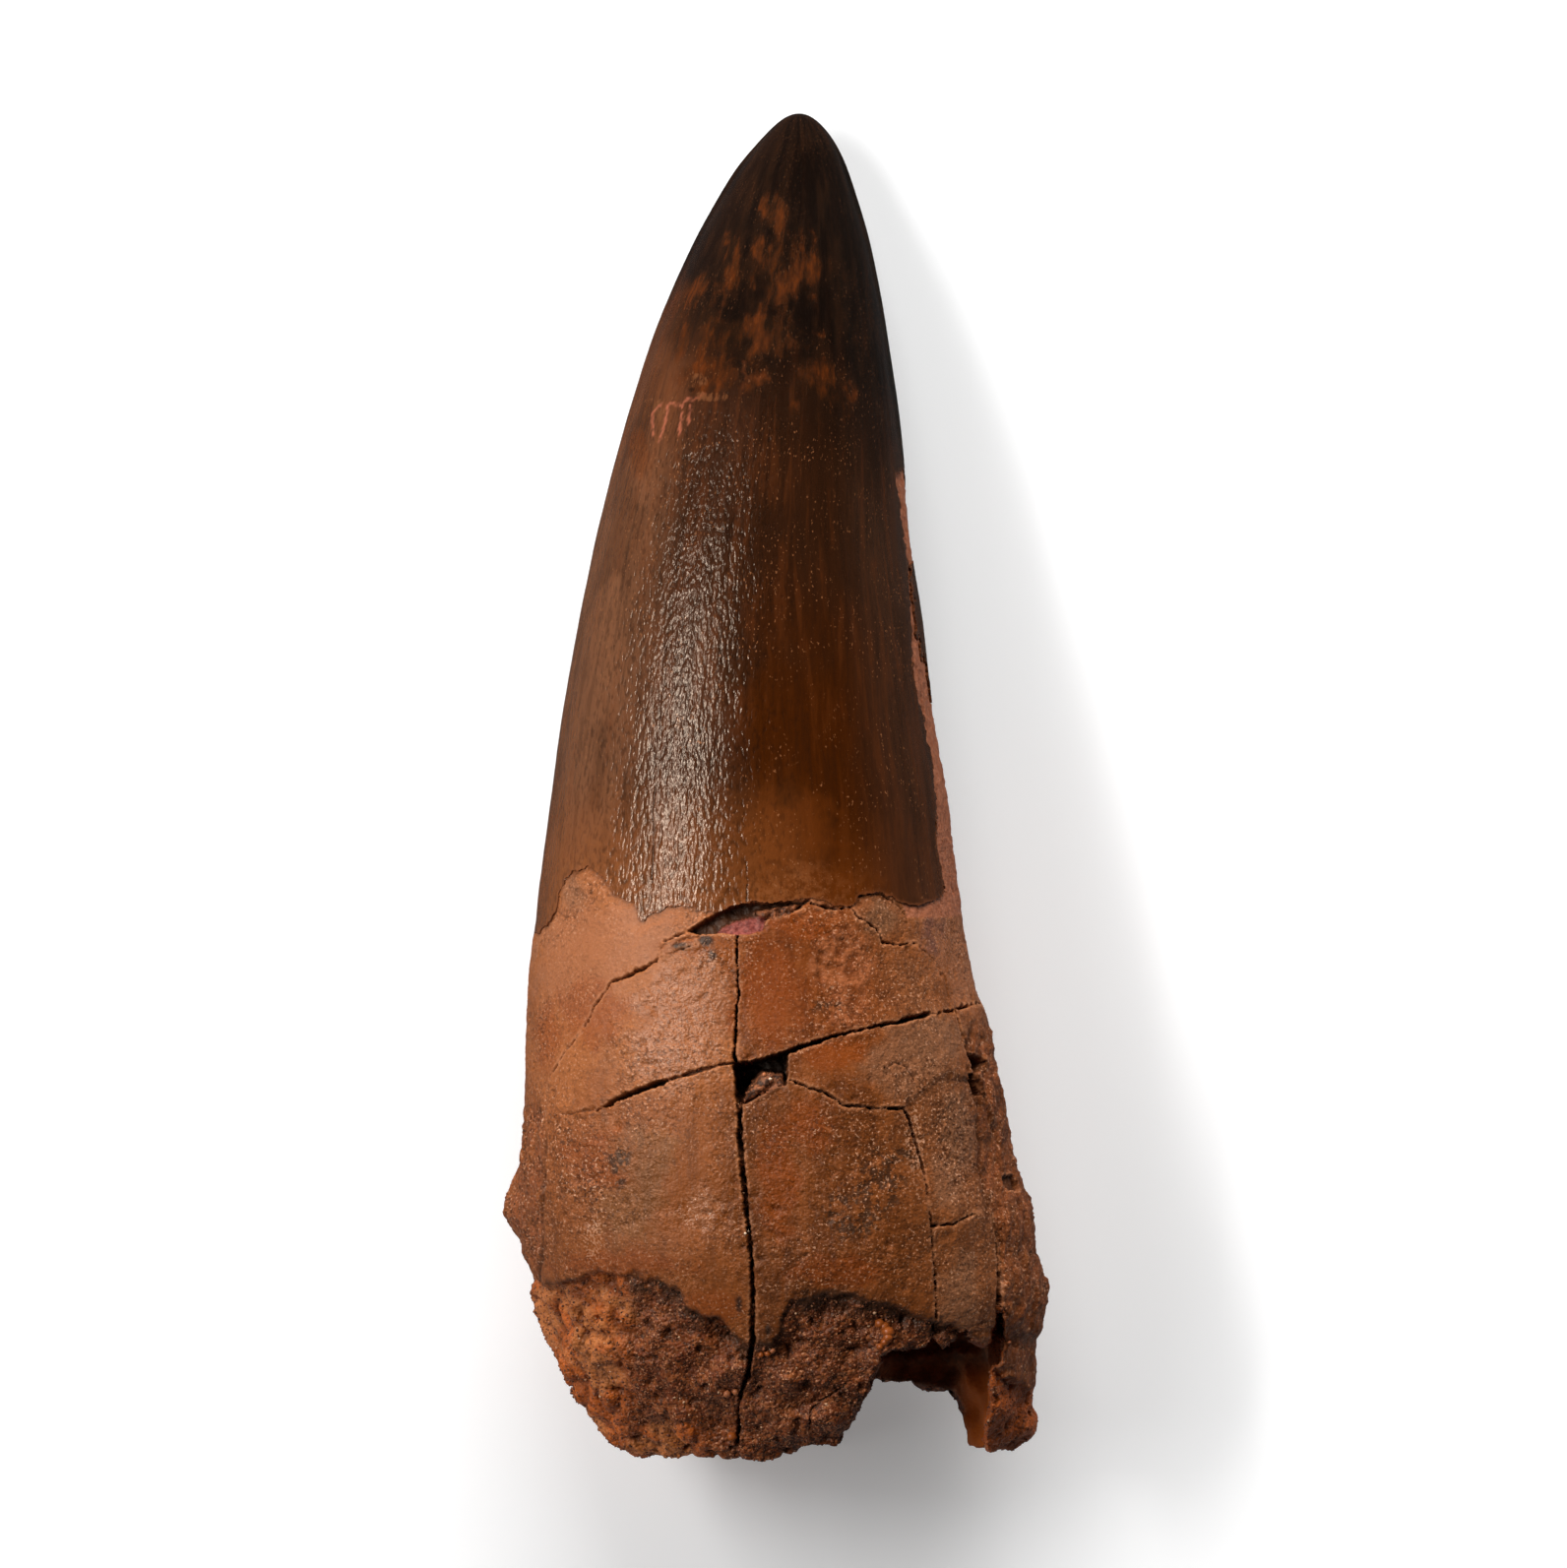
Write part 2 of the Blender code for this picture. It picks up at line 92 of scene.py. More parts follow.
END_LINE = (
    (-15.8, -64.7), (-13.1, -65.0), (-9.6, -64.7), (-5.2, -65.0), (-2.8, -65.0), (1.2, -64.8),
    (2.2, -63.8), (5.4, -63.8), (12.0, -63.8), (20.5, -64.1), (21.7, -64.4), (24.0, -63.8),
    (24.5, -62.8), (25.0, -60.6),
)
CROWN_SQUARENESS = 2.0
ROOT_SQUARENESS = 2.35
SQUARE_LENGTH = 23.0
KNOB = {"centre": (-25.2, -41.3, 17.0), "radius": 3.1, "height": 1.7}
ROOT_LUMPS = {"size": 7.0, "height": 0.3, "seed": 3.0}
CRUST_LUMPS = {"size": 3.6, "height": 1.0, "seed": 11.0}
END_LUMPS = {"size": 4.5, "height": 1.6, "seed": 23.0}
END_DISH = 1.6
LEDGE_HEIGHT = 0.9
CARINA_HEIGHT = 0.35
CARINA_HALF_ANGLE = 7.0
RELIEF_FREE_TIP = 6.0
ROOT_RELIEF_FROM = -2.0
ROOT_RELIEF_FULL = 3.0
LEDGE_FADES_BELOW = 0.5
UPPER_LEDGE = (
    (-26.0, -46.5), (-22.3, -48.4), (-21.2, -48.3), (-19.3, -47.6), (-17.4, -47.0), (-15.3, -47.1),
    (-12.1, -47.7), (-9.2, -48.8), (-8.5, -50.5), (-5.8, -51.5), (-4.4, -52.5), (-2.6, -53.9),
    (-1.3, -53.8), (0.1, -53.2), (0.7, -50.6), (1.8, -49.5), (5.8, -49.2), (9.4, -49.8),
    (14.8, -51.4), (18.6, -52.8), (21.5, -56.0), (27.0, -60.0),
)
UNDER_LEDGE = (
    (-26.0, -46.5), (-20.0, -50.2), (-15.0, -53.4), (-10.5, -51.0), (-5.0, -48.2), (1.5, -49.5),
    (7.0, -53.6), (13.0, -55.0), (19.0, -54.6), (23.0, -57.6), (27.0, -60.0),
)
PULP_CENTRE = (13.6, -61.0, 16.8)
PULP_RADII = (7.5, 20.0, 10.4)
PULP_SEGMENTS = (96, 56)
UPPER_WALL_BREAK = (
    (4.6, -68.0), (6.0, -62.8), (6.9, -61.8), (8.1, -59.7), (8.9, -58.1), (9.7, -56.2),
    (10.0, -55.0), (10.8, -54.4), (14.1, -54.2), (15.3, -53.3), (16.1, -54.1), (18.3, -52.7),
    (19.2, -53.7), (20.3, -54.2), (21.2, -52.6), (21.7, -50.8), (22.2, -52.4), (22.1, -54.1),
    (21.7, -56.0), (21.2, -58.0), (21.0, -60.6), (20.9, -68.0),
)
LOWER_WALL_BREAK = (
    (4.6, -68.0), (6.0, -62.8), (6.9, -61.8), (8.1, -59.7), (8.9, -58.1), (9.4, -57.4),
    (10.4, -58.0), (13.3, -57.8), (14.5, -58.4), (17.6, -59.1), (18.1, -60.0), (18.8, -61.8),
    (19.4, -63.0), (20.3, -68.0),
)
WALL_SPLIT_Z = 15.0
WALL_OVERLAP = 0.8
BELOW_ALL = -5.0
ABOVE_ALL = 45.0
BREAK_HEIGHTS = 9
BREAK_ROUGHNESS = {"size": 3.2, "height": 0.9, "seed": 31.0}

# The first, coarse division of the form, and how fine each part of it becomes (edge lengths)
COLUMNS = 96
TIP_CAP_ANGLES = (8, 16, 26, 38, 50, 62, 74, 84)
CROWN_RINGS = 40
ROOT_RINGS = 34
END_RINGS = 8
MEETING_TRIES = 40
SPLIT_ROUNDS = 6
SPLIT_ABOVE = 1.35
NOT_THROUGH_POINTS = 0.01
FINEST_EDGE = 0.12
CROWN_EDGE = 0.36
CROWN_UNDER_EDGE = 0.95
ROOT_EDGE = 0.36
ROOT_UNDER_EDGE = 1.05
CRUST_EDGE = 0.235
CRACK_EDGE = 0.14
BORDER_EDGE = 0.16
BORDER_BAND = 0.35
HIDDEN_EDGE = 6.0
HIDDEN_FROM = 1.2
HOLLOW_EDGE = 0.5
RIM_EDGE = 0.3

# Where the enamel ends: outlines (x, y) of the enamelled crown on its upper side and underside
ENAMEL_TOP = (
    (-40.0, -14.5), (-23.1, -14.5), (-22.1, -13.6), (-21.6, -12.8), (-21.2, -12.4), (-21.0, -11.1),
    (-20.8, -10.2), (-20.3, -9.1), (-19.5, -8.5), (-18.1, -8.0), (-17.5, -8.6), (-16.5, -9.1),
    (-16.1, -9.9), (-15.8, -10.5), (-14.7, -11.1), (-13.7, -11.7), (-13.3, -12.5), (-13.1, -13.4),
    (-12.6, -12.8), (-11.5, -12.5), (-10.4, -11.9), (-9.2, -11.8), (-8.0, -12.0), (-6.9, -12.4),
    (-5.8, -12.4), (-4.7, -11.9), (-3.2, -11.5), (-1.5, -11.4), (0.4, -11.4), (2.4, -11.2),
    (3.3, -11.0), (4.8, -11.4), (5.7, -11.8), (7.1, -11.8), (7.5, -11.4), (7.9, -10.8),
    (9.0, -10.6), (10.2, -10.6), (11.2, -11.1), (12.1, -11.6), (13.0, -11.7), (14.3, -11.6),
    (15.8, -11.1), (16.1, -10.5), (15.9, -8.3), (15.3, -5.7), (15.4, -2.9), (15.3, -1.0),
    (15.1, 1.8), (14.3, 6.0), (13.5, 9.1), (13.1, 12.3), (13.1, 14.7), (12.9, 17.3),
    (12.6, 21.4), (12.0, 26.4), (11.5, 29.6), (12.2, 30.4), (40.0, 30.4),
    (40.0, 90.0), (-40.0, 90.0),
)
ENAMEL_SLIVER = (
    (12.8, 21.1), (13.2, 17.6), (13.5, 14.8), (14.0, 12.4), (14.4, 10.0), (14.8, 7.6),
    (40.0, 7.6), (40.0, 21.1),
)
ENAMEL_UNDER = (
    (-40.0, -14.5), (-23.1, -14.5), (-21.0, -13.2), (-18.4, -11.4), (-15.2, -12.3), (-12.4, -13.9),
    (-9.8, -12.6), (-6.6, -11.2), (-3.4, -11.9), (0.2, -13.3), (3.6, -12.9), (6.8, -11.0),
    (9.7, -10.3), (12.3, -11.6), (14.6, -11.2), (15.4, -8.8), (15.0, -4.0), (14.6, 0.0),
    (14.2, 4.0), (14.5, 7.6), (40.0, 7.6), (40.0, 21.1), (12.75, 21.1), (12.3, 23.0),
    (12.1, 25.4), (12.1, 30.4), (40.0, 30.4), (40.0, 90.0), (-40.0, 90.0),
)
ENAMEL_THICKNESS = 0.16
ENAMEL_OVERLAP = 0.45
ENAMEL_WALL = 0.6
ROOT_WALL = 0.4
CROWN_CORE = (-2.6, -4.0, 17.0)
UPPER_ROOT_CORE = (-2.0, -20.0, 17.0)
LOWER_ROOT_CORE = (-2.0, -29.0, 17.0)
ENAMEL_RAGGED = ({"size": 1.0, "height": 0.24}, {"size": 0.35, "height": 0.1})
ENAMEL_NEAR = 3.5
SHAKEN_CRACKS = ({"size": 0.8, "height": 0.1}, {"size": 0.25, "height": 0.05})
SHAKEN_LINES = {"size": 0.7, "height": 0.08}
SHAKEN_SCRATCHES = {"size": 0.5, "height": 0.12}

# Cracks: the depth of each, how much of it is filled with sand, and (x, y, width) along it
CRACKS = {
    "left_diagonal": (1.3, 0.0, (
        (-8.5, -14.3, 0.25), (-9.6, -14.7, 0.25), (-11.4, -15.6, 0.2), (-11.3, -16.4, 0.2),
        (-11.6, -17.1, 0.35), (-12.6, -17.7, 0.3), (-13.2, -18.0, 0.45), (-14.3, -18.6, 0.4),
        (-15.8, -19.1, 0.3), (-16.5, -20.2, 0.25), (-17.5, -21.4, 0.3), (-18.1, -22.9, 0.25),
        (-19.4, -24.8, 0.2), (-20.4, -26.0, 0.15), (-21.1, -27.2, 0.3), (-21.8, -28.3, 0.15),
        (-22.1, -30.1, 0.12), (-22.2, -32.0, 0.12),
    )),
    "long_upper": (3.0, 0.0, (
        (-3.75, -14.2, 0.35), (-3.8, -16.9, 0.28), (-3.65, -19.8, 0.3), (-3.85, -22.7, 0.34),
        (-3.95, -24.6, 0.38), (-4.0, -27.4, 0.42),
    )),
    "long_lower": (2.6, 0.6, (
        (-3.7, -29.5, 0.72), (-3.55, -31.5, 0.6), (-3.5, -34.3, 0.7), (-3.25, -37.0, 0.6),
        (-3.0, -39.5, 0.66), (-2.75, -42.0, 0.55), (-2.5, -44.4, 0.56), (-2.3, -48.3, 0.52),
        (-2.3, -51.0, 0.6), (-2.4, -54.1, 0.72), (-2.9, -57.2, 0.6), (-3.6, -58.7, 0.45),
        (-3.9, -60.4, 0.35), (-3.8, -61.8, 0.4), (-3.9, -63.4, 0.6), (-3.8, -66.0, 0.5),
    )),
    "cross_left": (2.4, 0.0, (
        (-17.3, -31.5, 0.3), (-16.4, -31.0, 0.45), (-15.0, -30.2, 0.55), (-13.2, -29.5, 0.6),
        (-11.6, -28.9, 0.62), (-10.5, -28.5, 0.5),
    )),
    "cross_left_filled": (0.9, 0.8, (
        (-10.5, -28.5, 0.45), (-8.6, -28.0, 0.42), (-7.0, -27.5, 0.4), (-5.5, -27.1, 0.45),
        (-3.8, -26.8, 0.4),
    )),
    "cross_right": (2.4, 0.1, (
        (-0.4, -26.3, 0.6), (1.6, -25.6, 0.5), (3.5, -24.9, 0.5), (5.5, -24.3, 0.45),
        (8.8, -23.5, 0.4), (11.6, -23.0, 0.42), (13.7, -22.4, 0.5), (16.6, -22.0, 0.3),
        (18.4, -21.5, 0.35), (20.2, -21.2, 0.4),
    )),
    "tile_edge": (1.3, 0.3, (
        (1.3, -28.5, 0.2), (3.4, -29.3, 0.3), (5.0, -29.8, 0.34), (6.3, -30.9, 0.3),
        (7.4, -31.0, 0.34), (9.7, -31.2, 0.3), (12.2, -31.2, 0.4), (12.9, -32.3, 0.55),
        (13.3, -33.9, 0.6), (13.9, -36.0, 0.4), (14.5, -38.6, 0.25), (14.8, -41.5, 0.22),
        (15.1, -44.4, 0.25), (15.4, -47.3, 0.28), (15.4, -50.2, 0.3), (15.4, -52.7, 0.35),
    )),
    "tile_branch": (1.0, 0.0, (
        (15.0, -42.6, 0.3), (17.0, -42.4, 0.3), (18.4, -41.7, 0.2), (19.8, -41.0, 0.14),
    )),
    "right_long": (1.4, 0.2, (
        (17.3, -21.9, 0.3), (17.8, -23.6, 0.36), (18.2, -25.4, 0.42), (18.5, -26.2, 0.6),
    )),
    "right_fissure": (2.2, 0.0, (
        (20.0, -37.5, 0.1), (20.8, -40.4, 0.16), (21.3, -43.0, 0.16), (21.5, -45.1, 0.25),
        (21.6, -47.3, 0.35), (21.8, -49.8, 0.45), (21.7, -51.6, 0.6), (21.6, -53.4, 0.7),
    )),
    "chip_tile": (0.9, 0.0, (
        (3.4, -11.6, 0.3), (5.4, -12.1, 0.35), (7.1, -12.0, 0.3), (7.9, -13.0, 0.3),
        (8.8, -13.5, 0.28), (9.8, -14.2, 0.3), (10.1, -15.3, 0.35), (11.7, -15.6, 0.3),
        (13.4, -15.4, 0.2),
    )),
    "flake_edge": (0.5, 0.0, (
        (-7.6, -15.5, 0.2), (-8.8, -15.9, 0.2), (-10.2, -16.4, 0.22), (-11.1, -16.8, 0.18),
    )),
    "crust_split": (1.0, 0.3, (
        (3.2, -62.2, 0.3), (3.3, -60.2, 0.3), (5.0, -59.0, 0.4), (6.6, -58.0, 0.3),
    )),
}

# The root is made as two pieces, which meet in the cracks that run right round it: (x, y)
UPPER_SPLIT = (
    (-30.0, -33.0), (-22.1, -32.5), (-20.8, -31.9), (-19.0, -31.7), (-17.3, -31.5), (-16.4, -31.0),
    (-15.0, -30.2), (-13.2, -29.5), (-10.5, -28.5), (-8.6, -28.0), (-5.5, -27.1), (-0.4, -26.3),
    (3.5, -24.9), (8.8, -23.5), (11.6, -23.0), (13.7, -22.4), (16.6, -22.0), (20.2, -21.2),
    (30.0, -21.0),
)
UNDER_CRACKS = {
    "under_cross": (1.6, 0.2, (
        (20.2, -21.2, 0.35), (17.6, -22.6, 0.35), (13.0, -24.1, 0.4), (8.2, -23.4, 0.35),
        (3.0, -25.6, 0.4), (-2.4, -25.0, 0.3), (-7.8, -27.4, 0.4), (-13.0, -27.0, 0.3),
        (-18.2, -29.2, 0.25), (-21.5, -29.6, 0.15),
    )),
    "under_long": (1.5, 0.5, (
        (2.6, -13.6, 0.2), (3.4, -18.0, 0.35), (3.0, -25.6, 0.4), (4.2, -31.5, 0.4),
        (3.4, -38.0, 0.45), (4.8, -44.0, 0.4), (4.2, -51.0, 0.5), (5.4, -56.5, 0.4),
    )),
    "under_branch": (1.1, 0.0, (
        (-7.8, -27.4, 0.3), (-9.4, -33.0, 0.3), (-8.6, -38.6, 0.25), (-10.4, -43.5, 0.3),
        (-10.0, -50.0, 0.2),
    )),
    "under_right": (1.1, 0.2, (
        (3.4, -38.0, 0.25), (8.0, -39.6, 0.3), (13.2, -38.2, 0.3), (18.4, -40.4, 0.25),
        (22.0, -39.8, 0.12),
    )),
}
UNDER_SPLIT = (
    (-30.0, -33.0), *((x, y) for x, y, _ in UNDER_CRACKS["under_cross"][2]), (30.0, -21.0),
)
HAIRLINES = {
    "left_turn": ((-17.4, -31.4), (-19.0, -31.7), (-20.8, -31.9), (-22.1, -32.5)),
    "left_lower": ((-22.1, -35.8), (-22.3, -37.4), (-22.6, -39.4)),
    "left_notch": ((-24.2, -26.9), (-23.2, -26.9), (-23.3, -27.6), (-24.2, -27.6)),
    "left_step": ((-22.4, -29.0), (-22.2, -30.4), (-22.4, -32.4)),
    "right_thin": ((13.7, -15.9), (15.0, -17.0), (16.1, -18.5), (16.6, -20.4), (16.8, -22.0)),
    "chip_outline": ((7.9, -10.9), (9.0, -10.7), (10.2, -10.7), (11.2, -11.3), (12.0, -12.1),
                     (12.6, -13.1), (12.2, -14.5), (11.6, -15.4)),
    "plate_arc": ((10.3, -27.3), (11.4, -26.9), (12.6, -27.3), (13.2, -28.4)),
    "left_chip_floor": ((-21.2, -12.4), (-20.6, -12.9), (-19.9, -13.1)),
    "flake_top": ((-11.3, -16.2), (-10.8, -15.6), (-9.8, -15.5), (-8.6, -15.0), (-7.4, -14.8)),
    "spur_line": ((17.8, -55.0), (18.3, -58.0), (18.6, -60.5)),
}
HAIRLINE_WIDTH = 0.14
HAIRLINE_DEPTH = 0.3
ENAMEL_LINES = {
    "left": ((-11.6, -0.1), (-11.9, -2.6), (-11.8, -5.2), (-12.0, -9.7)),
    "middle": ((-2.9, -7.6), (-2.8, -9.4), (-2.9, -11.4)),
}
ENAMEL_LINE_WIDTH = 0.1
ENAMEL_LINE_DEPTH = 0.12
CRACK_WALL = (0.05, -0.1)
CRACK_NARROWING = 0.07
FILLED_DEPTH = 0.35
LIP_FROM_EDGE = 0.15
LIP_WIDTH = 0.12

# Deeper openings seen from above: the depth of each, and its outline (x, y)
OPENINGS = {
    "slit": (1.3, (
        (-8.5, -14.2), (-7.0, -13.3), (-5.9, -12.6), (-4.7, -12.0), (-3.2, -11.6), (-1.5, -11.5),
        (0.4, -11.5), (2.4, -11.3), (3.3, -11.2), (2.5, -11.9), (1.1, -12.6), (-0.2, -12.9),
        (-1.1, -13.2), (-1.2, -14.1), (-2.6, -14.5), (-3.4, -14.6), (-5.2, -14.4), (-7.4, -14.6),
    )),
    "hole": (3.8, (
        (-4.1, -26.9), (-2.6, -26.7), (-1.2, -26.4), (0.4, -25.9), (1.1, -25.6), (1.05, -28.0),
        (0.9, -29.0), (-0.4, -29.3), (-1.3, -29.9), (-3.0, -30.8), (-3.8, -30.8), (-4.0, -28.6),
    )),
    "upper_pit": (1.6, (
        (18.3, -25.9), (18.9, -26.0), (19.7, -26.2), (20.2, -26.8), (20.1, -27.5), (19.4, -27.9),
        (18.8, -27.6), (18.7, -26.8),
    )),
    "side_notch": (0.5, (
        (21.9, -38.3), (22.3, -39.0), (23.3, -39.4), (23.3, -38.6), (22.8, -37.8), (22.1, -37.7),
    )),
    "lower_pit": (1.3, (
        (18.4, -28.0), (19.2, -27.9), (19.4, -28.8), (19.9, -29.9), (19.6, -30.1), (18.9, -29.2),
    )),
}
OPENING_WALL = (0.08, -0.12)

# Lumps of fill that stand in the openings: how far their top lies below the skin, their slope,
# their roughness (height, and size, seed and layers of its noise), and their outline (x, y)
FILLS = {
    "pink_fill": (0.75, 0.15, (0.16, 1.2, 64, 3), (
        (-6.4, -14.8), (-5.2, -13.7), (-3.9, -13.1), (-2.9, -12.9), (-1.9, -12.8), (-1.1, -12.6),
        (-1.1, -14.3), (-2.6, -14.8), (-3.5, -14.8),
    )),
    "slit_rubble": (0.3, 0.2, (0.45, 0.8, 63, 2), (
        (-2.6, -12.4), (-0.9, -11.9), (0.6, -11.7), (1.8, -11.5), (3.0, -11.4), (1.0, -12.8),
        (-0.2, -13.2), (-1.4, -13.0),
    )),
    "hole_rubble": (0.4, 0.6, (0.45, 0.8, 63, 2), (
        (-2.5, -28.3), (-1.4, -27.2), (-0.4, -27.4), (0.9, -27.5), (1.2, -29.4), (-0.4, -29.8),
        (-1.5, -30.3), (-3.2, -31.2), (-3.7, -30.4),
    )),
}

# Plates of the root that lie a little higher (+) or lower (-) than the smooth form
PLATES = {
    "centre_tile": (-0.10, (
        (-3.2, -30.9), (-1.3, -30.0), (1.2, -28.8), (5.0, -29.9), (7.4, -31.1), (12.2, -31.3),
        (13.9, -36.0), (15.1, -44.4), (15.4, -52.7), (-2.3, -58.0),
    )),
    "right_tiles": (-0.30, (
        (12.4, -31.0), (16.0, -28.0), (19.5, -28.6), (21.5, -34.0), (22.0, -44.0), (21.7, -53.0),
        (15.4, -53.2), (15.1, -44.4), (13.9, -36.0),
    )),
    "flake": (0.12, (
        (-11.2, -15.5), (-8.5, -14.4), (-3.9, -14.4), (-3.9, -18.2), (-5.1, -17.4), (-6.4, -16.4),
        (-7.5, -15.9), (-9.4, -16.2), (-11.0, -16.9),
    )),
    "chip_tile": (-0.12, (
        (7.5, -11.9), (7.9, -10.9), (9.0, -10.7), (10.2, -10.7), (11.2, -11.3), (12.0, -12.1),
        (12.6, -13.1), (12.2, -14.5), (11.6, -15.4), (10.1, -15.3), (9.8, -14.2),
    )),
    "upper_plate": (0.08, (
        (-4.2, -14.4), (-1.0, -14.2), (0.0, -12.9), (3.3, -11.6), (7.3, -12.2), (9.8, -14.4),
        (10.3, -15.6), (15.0, -16.0), (16.8, -21.8), (-3.6, -26.9),
    )),
}
PLATE_SLOPE = 0.12
PAST_SHOWN = 6.0
SCAR = {"centre": (6.3, -17.1), "radius": 3.3, "height": 0.36, "tail": (6.6, -21.0, 2.4, 3.4)}

# Rough strips down both sides of the root: to which side of its line each one lies, the height y
# of its upper end, and (y, x) along the line
STRIPS = (
    (1, -23.0, ((-66.0, 21.6), (-53.4, 21.6), (-44.7, 21.6), (-37.5, 20.0), (-31.0, 19.6),
                (-25.4, 18.4), (-22.0, 19.4))),
    (-1, -31.0, ((-66.0, -23.4), (-50.0, -22.9), (-40.0, -22.4), (-34.0, -22.2), (-31.0, -22.0))),
)

# The fibrous side of the root, and the bare strip to the right of the crown's enamel: how far
# across the section each begins (1 is the right side), and where it ends
FIBROUS_ACROSS = (0.82, 0.95)
FIBROUS_BELOW = -24.0
BARE_ACROSS = 0.74
BARE_ABOVE = -13.0

# Soft-edged patches of colour on the root's upper side: (x, y, half width, half length)
PATCHES = {
    "pale": ((-18.5, -17.0, 8.0, 8.0), (-12.0, -17.0, 8.0, 5.0), (-21.0, -26.0, 4.0, 6.0),
             (-10.0, -26.0, 8.0, 4.0)),
    "pink": ((-17.5, -15.5, 6.5, 4.6), (-12.0, -14.5, 4.5, 2.8), (-19.0, -19.0, 4.5, 5.0),
             (15.4, -14.5, 1.6, 3.8), (18.2, -17.5, 1.6, 4.5)),
    "sparkle": ((-8.6, -22.6, 4.6, 6.2), (-6.5, -18.8, 2.6, 3.0), (-10.6, -26.0, 3.6, 3.4),
                (-7.2, -40.8, 1.5, 2.4)),
    "amber": ((-21.9, -24.4, 1.3, 3.2), (5.4, -26.2, 3.2, 1.6), (0.0, -38.0, 2.0, 7.0),
              (-15.0, -46.3, 7.0, 1.4), (-6.0, -50.2, 2.8, 2.0), (-4.35, -22.8, 0.4, 1.3),
              (-0.6, -20.0, 3.0, 5.5), (-16.5, -36.0, 4.2, 3.0), (6.0, -46.8, 4.6, 1.6),
              (2.5, -13.6, 4.6, 1.3), (-17.6, -22.0, 3.4, 3.2), (3.0, -33.0, 3.2, 2.6)),
    "flake": ((-7.2, -15.7, 3.9, 1.3), (-4.6, -17.0, 0.9, 1.6)),
    "spots": ((-6.7, -15.2, 0.75, 0.6), (-6.1, -16.5, 0.5, 0.55), (-9.0, -15.7, 0.9, 0.35),
              (-0.8, -52.6, 0.4, 0.6), (-3.6, -50.0, 0.35, 0.9)),
    "stain": ((10.2, -38.6, 2.6, 3.4), (12.2, -35.6, 1.6, 2.0), (-15.0, -36.2, 1.1, 2.6),
              (7.0, -41.5, 3.0, 2.4), (5.0, -21.4, 2.2, 0.7)),
    "grey": ((12.4, -26.8, 4.2, 3.6), (17.5, -33.5, 2.0, 4.5), (17.8, -49.5, 2.2, 4.2),
             (15.6, -25.0, 2.6, 2.6), (-19.6, -10.6, 1.2, 1.9), (16.6, -38.0, 1.6, 3.0)),
    "olive": ((-14.6, -41.4, 2.8, 2.8), (-12.6, -35.6, 3.4, 3.0), (-12.6, -38.6, 2.4, 3.0)),
    "mauve": ((15.0, -14.5, 1.2, 2.3),),
    "chip": ((9.9, -13.1, 1.9, 2.1),),
    "crumbly": ((-19.2, -36.6, 3.4, 5.0), (12.6, -28.4, 3.2, 2.2), (17.6, -34.0, 2.4, 6.0),
                (9.0, -38.0, 4.0, 3.0)),
    # Spots where the painted glints, small pale specks, gather. The spots are glossier too.
    "glint_spots": ((-7.4, -40.9, 2.0, 1.9), (13.3, -35.0, 1.0, 3.6), (-17.6, -44.0, 1.2, 2.4)),
    "smooth": ((-16.0, -17.5, 7.5, 6.5), (0.6, -19.5, 3.6, 6.6), (-13.0, -45.0, 8.5, 2.6),
               (-7.2, -15.7, 3.9, 1.3), (-18.6, -26.5, 3.6, 5.0), (-8.6, -36.0, 2.8, 5.0),
               (5.0, -26.5, 3.6, 1.8), (-6.0, -50.0, 3.0, 2.6)),
}

# Patches on the crown's upper side
CROWN_PATCHES = {
    "mottle": ((-2.5, 42.9, 5.0, 2.6), (4.8, 37.2, 3.4, 3.2), (-8.2, 44.5, 3.2, 5.0),
               (-0.1, 55.0, 1.4, 2.3), (3.2, 49.8, 1.2, 1.8), (-4.3, 50.6, 0.8, 3.4),
               (0.3, 46.8, 1.3, 1.0), (-5.0, 39.6, 4.6, 2.2), (0.4, 50.0, 2.6, 5.0)),
    "rust": ((0.6, 42.3, 3.0, 0.9), (3.2, 49.6, 0.9, 1.3), (-4.2, 50.8, 0.35, 2.6),
             (0.3, 46.8, 0.9, 0.5), (-0.1, 55.0, 0.9, 1.6), (-2.4, 43.8, 2.4, 1.2)),
    "tan": ((-7.8, 38.8, 1.2, 0.8), (-11.2, 36.0, 0.9, 1.2), (-6.4, 37.2, 1.6, 0.7)),
    "black": ((3.1, 42.0, 0.7, 1.2), (-1.7, 40.0, 1.2, 0.8), (-8.2, 37.9, 0.5, 0.4),
              (-4.0, 40.4, 0.8, 0.5)),
    "amber": ((-13.3, 31.9, 1.0, 2.6), (3.8, -9.9, 5.4, 1.8), (1.5, -5.0, 4.5, 4.0)),
}
SCRATCHES = (
    ((-11.1, 36.5), (-12.0, 35.7), (-11.9, 33.5)), ((-10.5, 36.4), (-10.7, 34.9), (-11.3, 33.0)),
    ((-10.3, 36.6), (-9.1, 36.4), (-8.6, 37.1), (-8.0, 36.8), (-6.8, 37.6)),
    ((-9.1, 36.4), (-9.4, 33.5)), ((-5.7, 38.4), (-5.9, 35.7)),
    ((-3.2, 40.6), (-3.0, 39.0), (-3.3, 37.5)), ((-2.9, 39.0), (-0.6, 39.0)),
    ((-8.3, 36.4), (-8.5, 34.6)),
)
RUST_LINES = (
    ((4.5, 43.1), (3.2, 43.5), (2.1, 43.3), (2.0, 42.3), (1.6, 41.2), (0.4, 41.0), (-0.8, 41.3)),
    ((3.9, 46.9), (4.2, 44.7), (4.5, 43.1)), ((1.1, 48.1), (1.0, 44.7)),
    ((-3.7, 53.3), (-4.0, 50.8), (-4.5, 47.8)), ((3.3, 53.4), (3.7, 52.9), (3.6, 51.7)),
    ((-0.3, 51.4), (-0.3, 49.2)), ((-7.0, 46.6), (-7.4, 43.8)),
)
